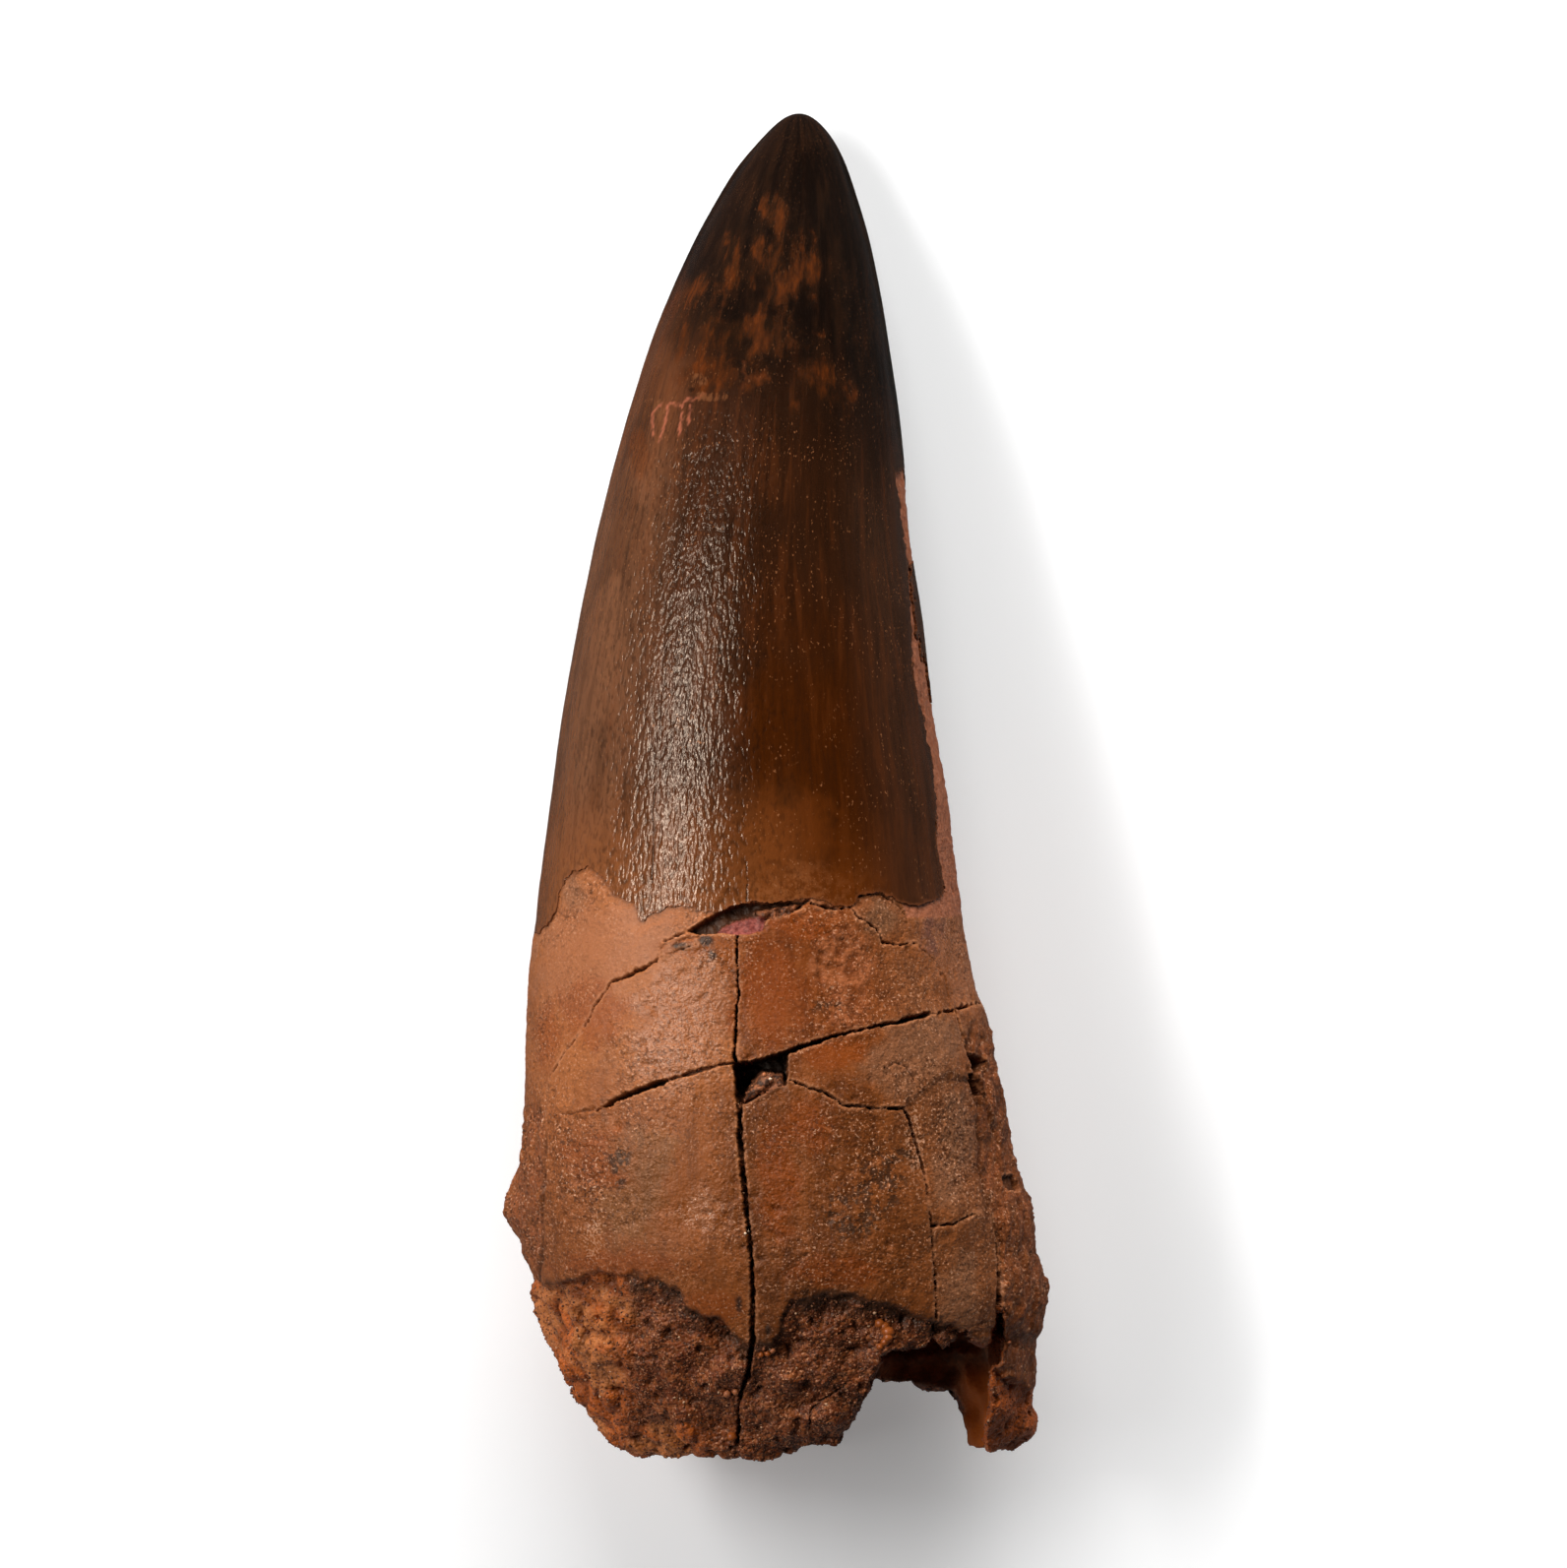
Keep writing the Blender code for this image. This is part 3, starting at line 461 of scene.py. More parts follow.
RUST_LINE_WIDTH = 0.3
SCRATCH_WIDTH = 0.2

# The radius of the cylinder round which the crown's streaks and wrinkles are wrapped
GRAIN_RADIUS = 17.0

# Sand: the radius of a grain from least to most, and how uneven a grain's three widths are
SAND_GRAINS = 8000
SAND_SIZE = (0.08, 0.2)
SAND_SEED = 5
SAND_SHAPE = (0.55, 1.2)
SUNK = 0.1
NUGGET_SHAPE = (0.75, 1.15)
NUGGET_RISE = 0.2
SEAT_RADIUS = 0.4

# Larger bits: (x, y, radius, tone), where a tone of 1.2 is tan, 1.6 is amber and 2.0 is pale
NUGGETS = (
    (-4.75, -58.7, 0.42, 1.2), (-3.95, -58.5, 0.46, 1.2), (-4.3, -62.9, 0.5, 1.6),
    (-1.5, -54.9, 0.36, 1.6), (-0.9, -54.8, 0.4, 1.6), (-0.4, -54.5, 0.32, 1.2),
    (9.9, -51.9, 0.5, 1.6), (10.4, -52.2, 0.62, 1.6), (10.7, -52.7, 0.66, 1.6),
    (10.7, -53.2, 0.62, 1.6), (10.4, -53.7, 0.55, 1.6), (10.0, -54.1, 0.45, 1.6),
    (-3.0, -43.2, 0.16, 2.0), (-2.7, -43.0, 0.14, 2.0), (-3.1, -27.9, 0.2, 1.2),
    (-1.2, -28.0, 0.24, 1.2), (-0.6, -28.4, 0.2, 2.0),
)

# Camera: straight down, from far enough for a flat view. The picture's middle and width in mm
PICTURE_SIZE = (1592, 1593)
PICTURE_MIDDLE = (0.665, -0.14)
PICTURE_WIDTH = 151.24
OUTLINE_HEIGHT = 17.0
CAMERA_DISTANCE = 2500.0
SENSOR = 36.0

# Light: a softbox above and to the left, a long, narrow and much brighter strip just below it,
# and a wide pale screen beyond the tip that lights without a reflection of its own. The floor
# glows faintly, so shadows stay pale. Centres and sizes are in millimetres
SOFTBOX = {"centre": (-590.0, 120.0, 600.0), "size": (580.0, 600.0), "radiance": 3.2}
STRIP_LIGHT = {"centre": (-500.0, 260.0, 598.0), "size": (80.0, 460.0), "radiance": 33.0}
SCREEN = {"centre": (170.0, 1000.0, 650.0), "size": (1100.0, 1200.0), "radiance": 6.7}
FLOOR_SIZE = 6000.0
FLOOR_GLOW = 0.22
SKY = {"low": 0.06, "high": 0.005, "starts": 0.05, "ends": 0.45}
LIGHT_LEVEL = 1.05
CRUST_SHADE = 1.14


def smooth_line(points):
    """A function through points (position, value) that never overshoots between them."""
    ordered = sorted(points)
    at = np.array([p[0] for p in ordered], float)
    value = np.array([p[1] for p in ordered], float)
    step = np.diff(at)
    slope = np.diff(value) / step
    tangent = np.zeros(len(at))
    tangent[0], tangent[-1] = slope[0], slope[-1]
    same_way = slope[:-1] * slope[1:] > 0
    before, after = slope[:-1][same_way], slope[1:][same_way]
    tangent[1:-1][same_way] = 2 * before * after / (before + after)

    def line(x):
        x = np.clip(x, at[0], at[-1])
        i = np.clip(np.searchsorted(at, x, side="right") - 1, 0, len(step) - 1)
        t = (x - at[i]) / step[i]
        bend = t * t * (3 - 2 * t)
        start_pull = t * (1 - t) ** 2 * step[i] * tangent[i]
        end_pull = t * t * (1 - t) * step[i] * tangent[i + 1]
        return value[i] + bend * (value[i + 1] - value[i]) + start_pull - end_pull

    return line


def from_tip(y):
    """The square root of the distance to the tip, in which the rounded tip is a straight line."""
    return np.sqrt(np.maximum(TIP_Y - np.asarray(y, float), 0.0))


def edge_line(points, tip_value):
    """A smooth line through points (y, value), which starts at the tip with the tip's value."""
    return smooth_line([(0.0, tip_value)] + [(float(from_tip(y)), v) for y, v in points])


left_edge, right_edge = edge_line(LEFT_EDGE, TIP_X), edge_line(RIGHT_EDGE, TIP_X)
top_line, under_line = edge_line(TOP_LINE, TIP_Z), edge_line(UNDER_LINE, TIP_Z)
end_line = smooth_line(END_LINE)
upper_ledge, under_ledge = smooth_line(UPPER_LEDGE), smooth_line(UNDER_LEDGE)
upper_split, under_split = smooth_line(UPPER_SPLIT), smooth_line(UNDER_SPLIT)


def unit(vectors):
    return vectors / np.maximum(np.linalg.norm(vectors, axis=1, keepdims=True), TINY)


def smooth_step(low, high, x):
    t = np.clip((np.asarray(x, float) - low) / (high - low), 0.0, 1.0)
    return t * t * (3 - 2 * t)


def section(y):
    """Centre (x, z), half width, half thickness and squareness of the section at y."""
    s = from_tip(y)
    left, right, top, under = left_edge(s), right_edge(s), top_line(s), under_line(s)
    on_root = smooth_step(0.0, SQUARE_LENGTH, CROWN_BASE_Y - np.asarray(y, float))
    square = CROWN_SQUARENESS + (ROOT_SQUARENESS - CROWN_SQUARENESS) * on_root
    return (left + right) / 2, (top + under) / 2, (right - left) / 2, (top - under) / 2, square


def skin_height(x, y, side):
    """Height of the smooth form at (x, y), on its upper side (side 1) or underside (side -1)."""
    centre_x, centre_z, wide, thick, square = section(y)
    share = np.clip(np.abs((x - centre_x) / np.maximum(wide, TINY)), 0.0, 1.0)
    return centre_z + side * thick * (1 - share ** square) ** (1 / square)


def skin_point(y, angle):
    """A point of the smooth skin on the section at y. Angle 0 is to the right, 90 degrees is up."""
    centre_x, centre_z, wide, thick, square = section(y)
    cosine, sine = np.cos(angle), np.sin(angle)
    x = centre_x + wide * np.sign(cosine) * np.abs(cosine) ** (2 / square)
    z = centre_z + thick * np.sign(sine) * np.abs(sine) ** (2 / square)
    return np.stack([x, y + 0 * x, z], axis=-1)


def meeting_y(line, angle):
    """Where the skin at this angle meets a line drawn from above, by trying y until it settles."""
    y = np.full_like(angle, END_Y)
    for _ in range(MEETING_TRIES):
        y = (y + line(skin_point(y, angle)[:, 0])) / 2
    return y


def section_shares(points):
    """Each point's place in its section: across, up, and out from the middle (1 is on the skin)."""
    centre_x, centre_z, wide, thick, square = section(points[:, 1])
    across = (points[:, 0] - centre_x) / np.maximum(wide, THIN)
    up = (points[:, 2] - centre_z) / np.maximum(thick, THIN)
    out = (np.abs(across) ** square + np.abs(up) ** square) ** (1 / square)
    return across, up, out


def onto_skin(points):
    """The points moved in their sections, straight out from the middle, onto the smooth skin."""
    centre_x, centre_z, _, _, _ = section(points[:, 1])
    _, _, out = section_shares(points)
    moved = points.copy()
    movable = (out > THIN) & (points[:, 1] < TIP_Y - TIP_GUARD)
    scale = np.where(movable, 1 / np.maximum(out, THIN), 1.0)
    moved[:, 0] = centre_x + (points[:, 0] - centre_x) * scale
    moved[:, 2] = centre_z + (points[:, 2] - centre_z) * scale
    moved[~movable] = points[~movable]
    return moved


def lumps(points, field):
    """Smooth random heights for an array of points, from a lump field's size, height and seed."""
    offset = Vector((field["seed"], -field["seed"], 0.5 * field["seed"]))
    heights = [noise.noise(Vector(p) / field["size"] + offset) for p in points]
    return field["height"] * np.array(heights)


@functools.lru_cache(maxsize=None)
def scattered(seed):
    """A shuffled order, directions and places, one for each of the cells of a noise."""
    rng = np.random.default_rng(seed)
    order = rng.permutation(NOISE_CELLS)
    way = unit(rng.normal(size=(NOISE_CELLS, 3)))
    return order, way, rng.random((NOISE_CELLS, 3))


def in_cells(points, size):
    """Each point's cell in a grid of this size, as whole numbers, and its place in the cell."""
    at = (points / size).T
    cell = [np.floor(value).astype(int) for value in at]
    return cell, [value - number for value, number in zip(at, cell)]


def cell_number(order, cell, step):
    """The shuffled number of the cell that lies this step away."""
    number = 0
    for place, moved in zip(cell, step):
        number = order[(number + place + moved) % NOISE_CELLS]
    return number


def ripple(points, size, seed):
    """Smooth noise from about -1 to 1, with features of this size."""
    order, way, _ = scattered(seed)
    cell, (x, y, z) = in_cells(points, size)
    ease = [at * at * at * (at * (at * 6 - 15) + 10) for at in (x, y, z)]
    total = np.zeros(len(points))
    for right, forward, up in itertools.product((0, 1), repeat=3):
        slope = way[cell_number(order, cell, (right, forward, up))]
        weight = ease[0] if right else 1 - ease[0]
        weight = weight * (ease[1] if forward else 1 - ease[1])
        weight *= ease[2] if up else 1 - ease[2]
        reach = (x - right) * slope[:, 0] + (y - forward) * slope[:, 1] + (z - up) * slope[:, 2]
        total += weight * reach
    return RIPPLE_HEIGHT * total


def rough(points, size, seed, layers=3):
    """Noise of several sizes, each half as large and half as strong as the one before."""
    total = np.zeros(len(points))
    for layer in range(layers):
        total += 0.5 ** layer * ripple(points, size * 0.5 ** layer, seed + layer)
    return total


def pebbled(points, size, seed):
    """Low mounds round scattered places: 0.5 at the middle of each, and falling outwards."""
    order, _, place = scattered(seed)
    cell, (x, y, z) = in_cells(points, size)
    nearest = np.full(len(points), FAR)
    for right, forward, up in itertools.product((-1, 0, 1), repeat=3):
        spot = place[cell_number(order, cell, (right, forward, up))]
        apart = (x - right - spot[:, 0]) ** 2 + (y - forward - spot[:, 1]) ** 2
        apart += (z - up - spot[:, 2]) ** 2
        nearest = np.minimum(nearest, apart)
    return 0.5 - np.sqrt(nearest)


def segment_distance(points, start, end):
    """Distance from each point to a segment, and how far along it the nearest place is."""
    along = end - start
    share = np.clip(((points - start) @ along) / max(along @ along, TINY), 0.0, 1.0)
    return np.linalg.norm(points - start - share[:, None] * along, axis=1), share


def lifted(route, side):
    """A route of (x, y, …) with its height on the skin put in: (x, y, z, …)."""
    route = np.array(route, float)
    height = skin_height(route[:, 0], route[:, 1], side)
    return np.column_stack([route[:, :2], height, route[:, 2:]])


def with_width(route, width):
    return lifted([(x, y, width) for x, y in route], 1)


def line_distance(points, route, reach=4.0):
    """Distance from each point to the border of a line (x, y, z, width), below zero inside it."""
    found = np.full(len(points), FAR)
    low = route[:, :3].min(axis=0) - reach
    high = route[:, :3].max(axis=0) + reach
    near = ((points > low) & (points < high)).all(axis=1)
    if not near.any():
        return found
    close = points[near]
    best = np.full(len(close), FAR)
    for start, end in zip(route, route[1:]):
        apart, share = segment_distance(close, start[:3], end[:3])
        width = start[3] + share * (end[3] - start[3])
        best = np.minimum(best, apart - width / 2)
    found[near] = best
    return found


def nearest_line(points, routes):
    found = np.full(len(points), FAR)
    for route in routes:
        found = np.minimum(found, line_distance(points, route))
    return found


def outline_distance(points, outline, side=1):
    """Distance to the edge of an outline (x, y) drawn on the skin, above zero inside it."""
    outline = np.array(outline, float)
    route = lifted(np.column_stack([outline, np.zeros(len(outline))]), side)
    closed = np.vstack([route, route[:1]])
    apart = line_distance(points, closed)
    x, y = points[:, 0], points[:, 1]
    inside = np.zeros(len(points), bool)
    for (ax, ay), (bx, by) in zip(outline, np.roll(outline, -1, axis=0)):
        if ay != by:
            crosses = (ay > y) != (by > y)
            inside ^= crosses & (x < (bx - ax) * (y - ay) / (by - ay) + ax)
    return np.where(inside, apart, -apart)


def on_upper_side(points):
    return section_shares(points)[1] > 0


def upward(points):
    """1 where the skin shows from above, 0 on the underside."""
    return smooth_step(-0.5, -0.2, section_shares(points)[1])


def shaken(points, *fields):
    """The points moved about by ragged noise, so that a line measured from them is ragged too."""
    moved = points.copy()
    for number, field in enumerate(fields):
        for axis in range(3):
            seed = 100 + 10 * number + axis
            moved[:, axis] += field["height"] * ripple(points, field["size"], seed)
    return moved


def enamel_border(points):
    """Distance to the line where the enamel ends, above zero on the enamel."""
    upper = on_upper_side(points)
    found = np.empty(len(points))
    main = outline_distance(points[upper], ENAMEL_TOP, 1)
    sliver = outline_distance(points[upper], ENAMEL_SLIVER, 1)
    found[upper] = np.maximum(main, sliver)
    found[~upper] = outline_distance(points[~upper], ENAMEL_UNDER, -1)
    return found


def enamel_distance(points):
    """The same for the enamel's true, ragged edge."""
    found = enamel_border(points)
    near = np.abs(found) < ENAMEL_NEAR
    found[near] = enamel_border(shaken(points[near], *ENAMEL_RAGGED))
    return found


def ledge_distance(points):
    """How far each point lies past the ledge, in the sandy crust, above zero inside the crust."""
    line = np.where(on_upper_side(points), upper_ledge(points[:, 0]), under_ledge(points[:, 0]))
    return line - points[:, 1]


def ragged_ledge(points):
    """The same for the ledge's ragged edge."""
    return ledge_distance(points) + 0.5 * ripple(points, 1.6, 41) + 0.2 * ripple(points, 0.6, 42)


crack_routes = [
    (depth, filled, lifted(route, side))
    for cracks, side in ((CRACKS, 1), (UNDER_CRACKS, -1))
    for depth, filled, route in cracks.values()
]
hairline_routes = [with_width(route, HAIRLINE_WIDTH) for route in HAIRLINES.values()]
enamel_line_routes = [with_width(route, ENAMEL_LINE_WIDTH) for route in ENAMEL_LINES.values()]
scratch_routes = [with_width(route, SCRATCH_WIDTH) for route in SCRATCHES]
rust_line_routes = [with_width(route, RUST_LINE_WIDTH) for route in RUST_LINES]


def nearest_crack(points):
    """Distance to the nearest crack or opening of the root, below zero inside one."""
    found = nearest_line(points, [route for _, _, route in crack_routes] + hairline_routes)
    for _, outline in OPENINGS.values():
        found = np.minimum(found, np.abs(outline_distance(points, outline)) - 0.3)
    return found


def root_edge_length(points):
    """How long the mesh's edges may be at each point of the root."""
    _, up, out = section_shares(points)
    shown = smooth_step(-0.5, -0.2, up)
    plain = ROOT_UNDER_EDGE + (ROOT_EDGE - ROOT_UNDER_EDGE) * shown
    in_crust = smooth_step(-0.8, 0.0, ledge_distance(points))
    crust = CRUST_EDGE * (1 + 0.9 * (1 - shown))
    length = plain + (crust - plain) * in_crust
    crack = nearest_crack(points)
    length = np.minimum(length, CRACK_EDGE + 0.3 * np.maximum(crack, 0.0))
    length = np.where(out < 0.9, HOLLOW_EDGE, length)
    enamel = enamel_border(points)
    length = np.where(enamel > HIDDEN_FROM, HIDDEN_EDGE, length)
    on_rim = np.abs(enamel - ENAMEL_OVERLAP) < RIM_EDGE
    return np.where(on_rim, np.minimum(length, RIM_EDGE), length)


def crown_edge_length(points):
    """How long the mesh's edges may be at each point of the crown."""
    shown = upward(points)
    length = CROWN_UNDER_EDGE + (CROWN_EDGE - CROWN_UNDER_EDGE) * shown
    enamel = enamel_border(points)
    length = np.where(np.abs(enamel) < BORDER_BAND, BORDER_EDGE, length)
    line = nearest_line(points, enamel_line_routes)
    length = np.minimum(length, FINEST_EDGE + 0.4 * np.maximum(line, 0.0))
    return np.where(enamel < -HIDDEN_FROM, HIDDEN_EDGE, length)


def coarse_rings():
    """Rings of points on the smooth form from the tip to the middle of the broken end."""
    angle = np.linspace(0.0, 2 * math.pi, COLUMNS, endpoint=False)
    cap = TIP_Y - TIP_RADIUS * (1 - np.cos(np.radians(TIP_CAP_ANGLES)))
    crown = np.linspace(cap[-1], CROWN_BASE_Y, CROWN_RINGS + 1)[1:]
    whole = np.concatenate([cap, crown])[:, None] + 0 * angle
    rim_y = meeting_y(end_line, angle)
    share = np.linspace(0.0, 1.0, ROOT_RINGS + 1)[1:, None]
    root = CROWN_BASE_Y + share * (rim_y - CROWN_BASE_Y)
    y = np.concatenate([whole, root])
    skin = skin_point(y, np.broadcast_to(angle, y.shape))
    rim = skin[-1]
    middle = rim.mean(axis=0)
    inner = []
    for i in range(1, END_RINGS + 1):
        share = 1 - i / (END_RINGS + 1)
        ring = middle + share * (rim - middle)
        ring[:, 1] = middle[1] + share ** 4 * (rim[:, 1] - middle[1])
        ring[:, 1] += (1 - share ** 2) * (END_DISH + lumps(ring, END_LUMPS))
        inner.append(ring)
    return skin, np.array(inner)


def add_walls(mesh, loops, kind=0):
    """Faces between loops of equal length, each joined to the next."""
    count = len(loops[0])
    for first, second in zip(loops, loops[1:]):
        for i in range(count):
            j = (i + 1) % count
            mesh.faces.new((first[i], second[i], second[j], first[j])).material_index = kind


def add_fan(mesh, ring, middle, kind=0):
    for i in range(len(ring)):
        mesh.faces.new((ring[i], ring[(i + 1) % len(ring)], middle)).material_index = kind


# Where a face comes from: the outer skin, the end face, the pulp hollow or a broken wall
KINDS = SKIN, END, HOLLOW, BREAK = range(4)


def object_from(mesh, name):
    """An object from a mesh under construction, with a material slot for each kind of face."""
    data = bpy.data.meshes.new(name)
    bmesh.ops.recalc_face_normals(mesh, faces=mesh.faces)
    bmesh.ops.triangulate(mesh, faces=mesh.faces)
    mesh.to_mesh(data)
    mesh.free()
    for _ in KINDS:
        data.materials.append(None)
    made = bpy.data.objects.new(name, data)
    bpy.context.scene.collection.objects.link(made)
    return made


def coarse_body():
    skin, inner = coarse_rings()
    mesh = bmesh.new()
    loops = [[mesh.verts.new(p) for p in ring] for ring in skin]
    end_loops = [loops[-1]] + [[mesh.verts.new(p) for p in ring] for ring in inner]
    tip = mesh.verts.new((TIP_X, TIP_Y, TIP_Z))
    middle = mesh.verts.new(inner[-1].mean(axis=0))
    add_fan(mesh, loops[0], tip)
    add_walls(mesh, loops)
    add_walls(mesh, end_loops, END)
    add_fan(mesh, end_loops[-1], middle, END)
    return object_from(mesh, "coarse_tooth")


def break_cutter(name, outline, low, high):
    """An upright prism with rough walls, over an outline drawn from above."""
    outline = np.array(outline)
    outward = outline - outline.mean(axis=0)
    outward /= np.linalg.norm(outward, axis=1, keepdims=True)
    mesh = bmesh.new()
    loops = []
    for z in np.linspace(low, high, BREAK_HEIGHTS):
        points = np.column_stack([outline, np.full(len(outline), z)])
        points[:, :2] += outward * lumps(points, BREAK_ROUGHNESS)[:, None]
        loops.append([mesh.verts.new(p) for p in points])
    add_walls(mesh, loops, BREAK)
    mesh.faces.new(loops[0]).material_index = BREAK
    mesh.faces.new(loops[-1]).material_index = BREAK
    return object_from(mesh, name)


def pulp_cutter():
    mesh = bmesh.new()
    across, along = PULP_SEGMENTS
    bmesh.ops.create_uvsphere(mesh, u_segments=across, v_segments=along, radius=1.0)
    bmesh.ops.scale(mesh, verts=mesh.verts, vec=Vector(PULP_RADII))
    bmesh.ops.translate(mesh, verts=mesh.verts, vec=Vector(PULP_CENTRE))
    for face in mesh.faces:
        face.material_index = HOLLOW
    return object_from(mesh, "pulp")


def values_of(items, name, width, kind=np.int32):
    """One row of numbers for each item of a mesh."""
    values = np.empty(len(items) * width, kind)
    items.foreach_get(name, values)
    return values.reshape(-1, width)


def mesh_arrays(data):
    """A mesh's points, triangles and the kind of each triangle."""
    data.calc_loop_triangles()
    points = values_of(data.vertices, "co", 3, float)
    triangles = values_of(data.loop_triangles, "vertices", 3)
    kinds = values_of(data.loop_triangles, "material_index", 1)
    return points, triangles.astype(int), kinds[:, 0].astype(int)


def coarse_tooth():
    """The smooth form with its hollow and its broken walls, as points, triangles and kinds."""
    body = coarse_body()
    cutters = [
        pulp_cutter(),
        break_cutter("upper_break", UPPER_WALL_BREAK, WALL_SPLIT_Z, ABOVE_ALL),
        break_cutter("lower_break", LOWER_WALL_BREAK, BELOW_ALL, WALL_SPLIT_Z + WALL_OVERLAP),
    ]
    for cutter in cutters:
        modifier = body.modifiers.new(cutter.name, "BOOLEAN")
        modifier.operation = "DIFFERENCE"
        modifier.solver = "EXACT"
        modifier.object = cutter
    bpy.context.view_layer.update()
    shown = body.evaluated_get(bpy.context.evaluated_depsgraph_get())
    arrays = mesh_arrays(shown.to_mesh())
    shown.to_mesh_clear()
    for made in cutters + [body]:
        data = made.data
        bpy.data.objects.remove(made)
        bpy.data.meshes.remove(data)
    return arrays


def sides_of(triangles):
    """Both ends of every triangle's three sides, in their directions."""
    return triangles[:, [0, 1, 1, 2, 2, 0]].reshape(-1, 2)


def edge_keys(pairs):
    """One number for each pair of points, the same in both directions."""
    return pairs.min(axis=1) * EDGE_KEY + pairs.max(axis=1)


def edges_of(triangles):
    """The mesh's edges, and for each triangle the numbers of its three edges."""
    keys, number = np.unique(edge_keys(sides_of(triangles)), return_inverse=True)
    return np.column_stack([keys // EDGE_KEY, keys % EDGE_KEY]), number.reshape(-1, 3)


def split_long_edges(points, triangles, kinds, edge_length):
    """One round of splitting: every edge that is too long gets a point in its middle."""
    edges, sides = edges_of(triangles)
    start, end = points[edges[:, 0]], points[edges[:, 1]]
    middle = (start + end) / 2
    length = np.linalg.norm(end - start, axis=1)
    marked = length > SPLIT_ABOVE * FINEST_EDGE
    marked[marked] = length[marked] > SPLIT_ABOVE * edge_length(middle[marked])
    longest = sides[np.arange(len(sides)), length[sides].argmax(axis=1)]
    while True:
        wanted = np.zeros(len(edges), bool)
        wanted[longest[marked[sides].any(axis=1)]] = True
        if not (wanted & ~marked).any():
            break
        marked |= wanted
    if not marked.any():
        return points, triangles, kinds, False
    on_skin = np.zeros(len(edges), bool)
    on_skin[sides[kinds == SKIN].ravel()] = True
    middle[on_skin] = onto_skin(middle[on_skin])
    new_number = np.full(len(edges), -1)
    new_number[marked] = len(points) + np.arange(marked.sum())
    points = np.concatenate([points, middle[marked]])
    first = length[sides].argmax(axis=1)
    turn = (first[:, None] + np.arange(3)) % 3
    rows = np.arange(len(triangles))[:, None]
    a, b, c = triangles[rows, turn].T
    m, n, p = new_number[sides[rows, turn]].T
    plain = m < 0
    only = (m >= 0) & (n < 0) & (p < 0)
    right = (m >= 0) & (n >= 0) & (p < 0)
    left = (m >= 0) & (n < 0) & (p >= 0)
    every = (m >= 0) & (n >= 0) & (p >= 0)
    made = []
    for chosen, corners in (
        (plain, ((a, b, c),)),
        (only, ((a, m, c), (m, b, c))),
        (right, ((a, m, c), (m, b, n), (m, n, c))),
        (left, ((m, b, c), (a, m, p), (p, m, c))),
        (every, ((a, m, p), (m, b, n), (p, n, c), (m, n, p))),
    ):
        for corner in corners:
            made.append((np.column_stack([k[chosen] for k in corner]), kinds[chosen]))
    triangles = np.concatenate([t for t, _ in made])
    kinds = np.concatenate([k for _, k in made])
    return points, triangles, kinds, True


def divided(points, triangles, kinds, edge_length):
    """The mesh with its edges split until none is too long."""
    for _ in range(SPLIT_ROUNDS):
        points, triangles, kinds, changed = split_long_edges(points, triangles, kinds, edge_length)
        if not changed:
            break
    return points, triangles, kinds


def compacted(triangles):
    """Which points the triangles use, and the triangles as numbers into those."""
    used, number = np.unique(triangles, return_inverse=True)
    return used, number.reshape(-1, 3)


def largest_part(triangles, count):
    """Which triangles belong to the largest connected part of a mesh."""
    label = np.arange(count)
    edges, _ = edges_of(triangles)
    while True:
        lowest = np.minimum(label[edges[:, 0]], label[edges[:, 1]])
        before = label.copy()
        np.minimum.at(label, edges[:, 0], lowest)
        np.minimum.at(label, edges[:, 1], lowest)
        label = label[label]
        if (label == before).all():
            break
    groups, sizes = np.unique(label[triangles[:, 0]], return_counts=True)
    return label[triangles[:, 0]] == groups[sizes.argmax()]


def cut_along(points, triangles, kinds, field):
    """The mesh cut along the line where a field is zero, and which triangles lie above zero."""
    field = np.where(np.abs(field) < NOT_THROUGH_POINTS, NOT_THROUGH_POINTS, field)
    above = field > 0
    count = above[triangles].sum(axis=1)
    edges, sides = edges_of(triangles)
    crossed = above[edges[:, 0]] != above[edges[:, 1]]
    start, end = field[edges[:, 0]], field[edges[:, 1]]
    share = np.where(crossed, start / np.where(crossed, start - end, 1.0), 0.0)
    cut = points[edges[:, 0]] + share[:, None] * (points[edges[:, 1]] - points[edges[:, 0]])
    new_number = np.full(len(edges), -1)
    new_number[crossed] = len(points) + np.arange(crossed.sum())
    points = np.concatenate([points, cut[crossed]])
    whole = (count == 0) | (count == 3)
    made = [(triangles[whole], kinds[whole], count[whole] == 3)]
    for wanted in (1, 2):
        chosen = count == wanted
        corners, corner_sides = triangles[chosen], sides[chosen]
        odd = (above[corners] == (wanted == 1)).argmax(axis=1)
        turn = (odd[:, None] + np.arange(3)) % 3
        rows = np.arange(len(corners))[:, None]
        a, b, c = corners[rows, turn].T
        m, _, p = new_number[corner_sides[rows, turn]].T
        tip_above = np.full(len(corners), wanted == 1)
        for corner, is_above in (
            ((a, m, p), tip_above), ((m, b, c), ~tip_above), ((m, c, p), ~tip_above),
        ):
            made.append((np.column_stack(corner), kinds[chosen], is_above))
    triangles, kinds, is_above = (np.concatenate(parts) for parts in zip(*made))
    return points, triangles, kinds, is_above


def kept_where(points, triangles, kinds, field):
    """The largest connected part of a mesh where a field is above zero."""
    points, triangles, kinds, is_above = cut_along(points, triangles, kinds, field)
    triangles, kinds = triangles[is_above], kinds[is_above]
    whole = largest_part(triangles, len(points))
    used, triangles = compacted(triangles[whole])
    return points[used], triangles, kinds[whole]


def face_normals(corners):
    """The triangles' normals, each twice as long as its triangle is large."""
    return np.cross(corners[:, 1] - corners[:, 0], corners[:, 2] - corners[:, 0])


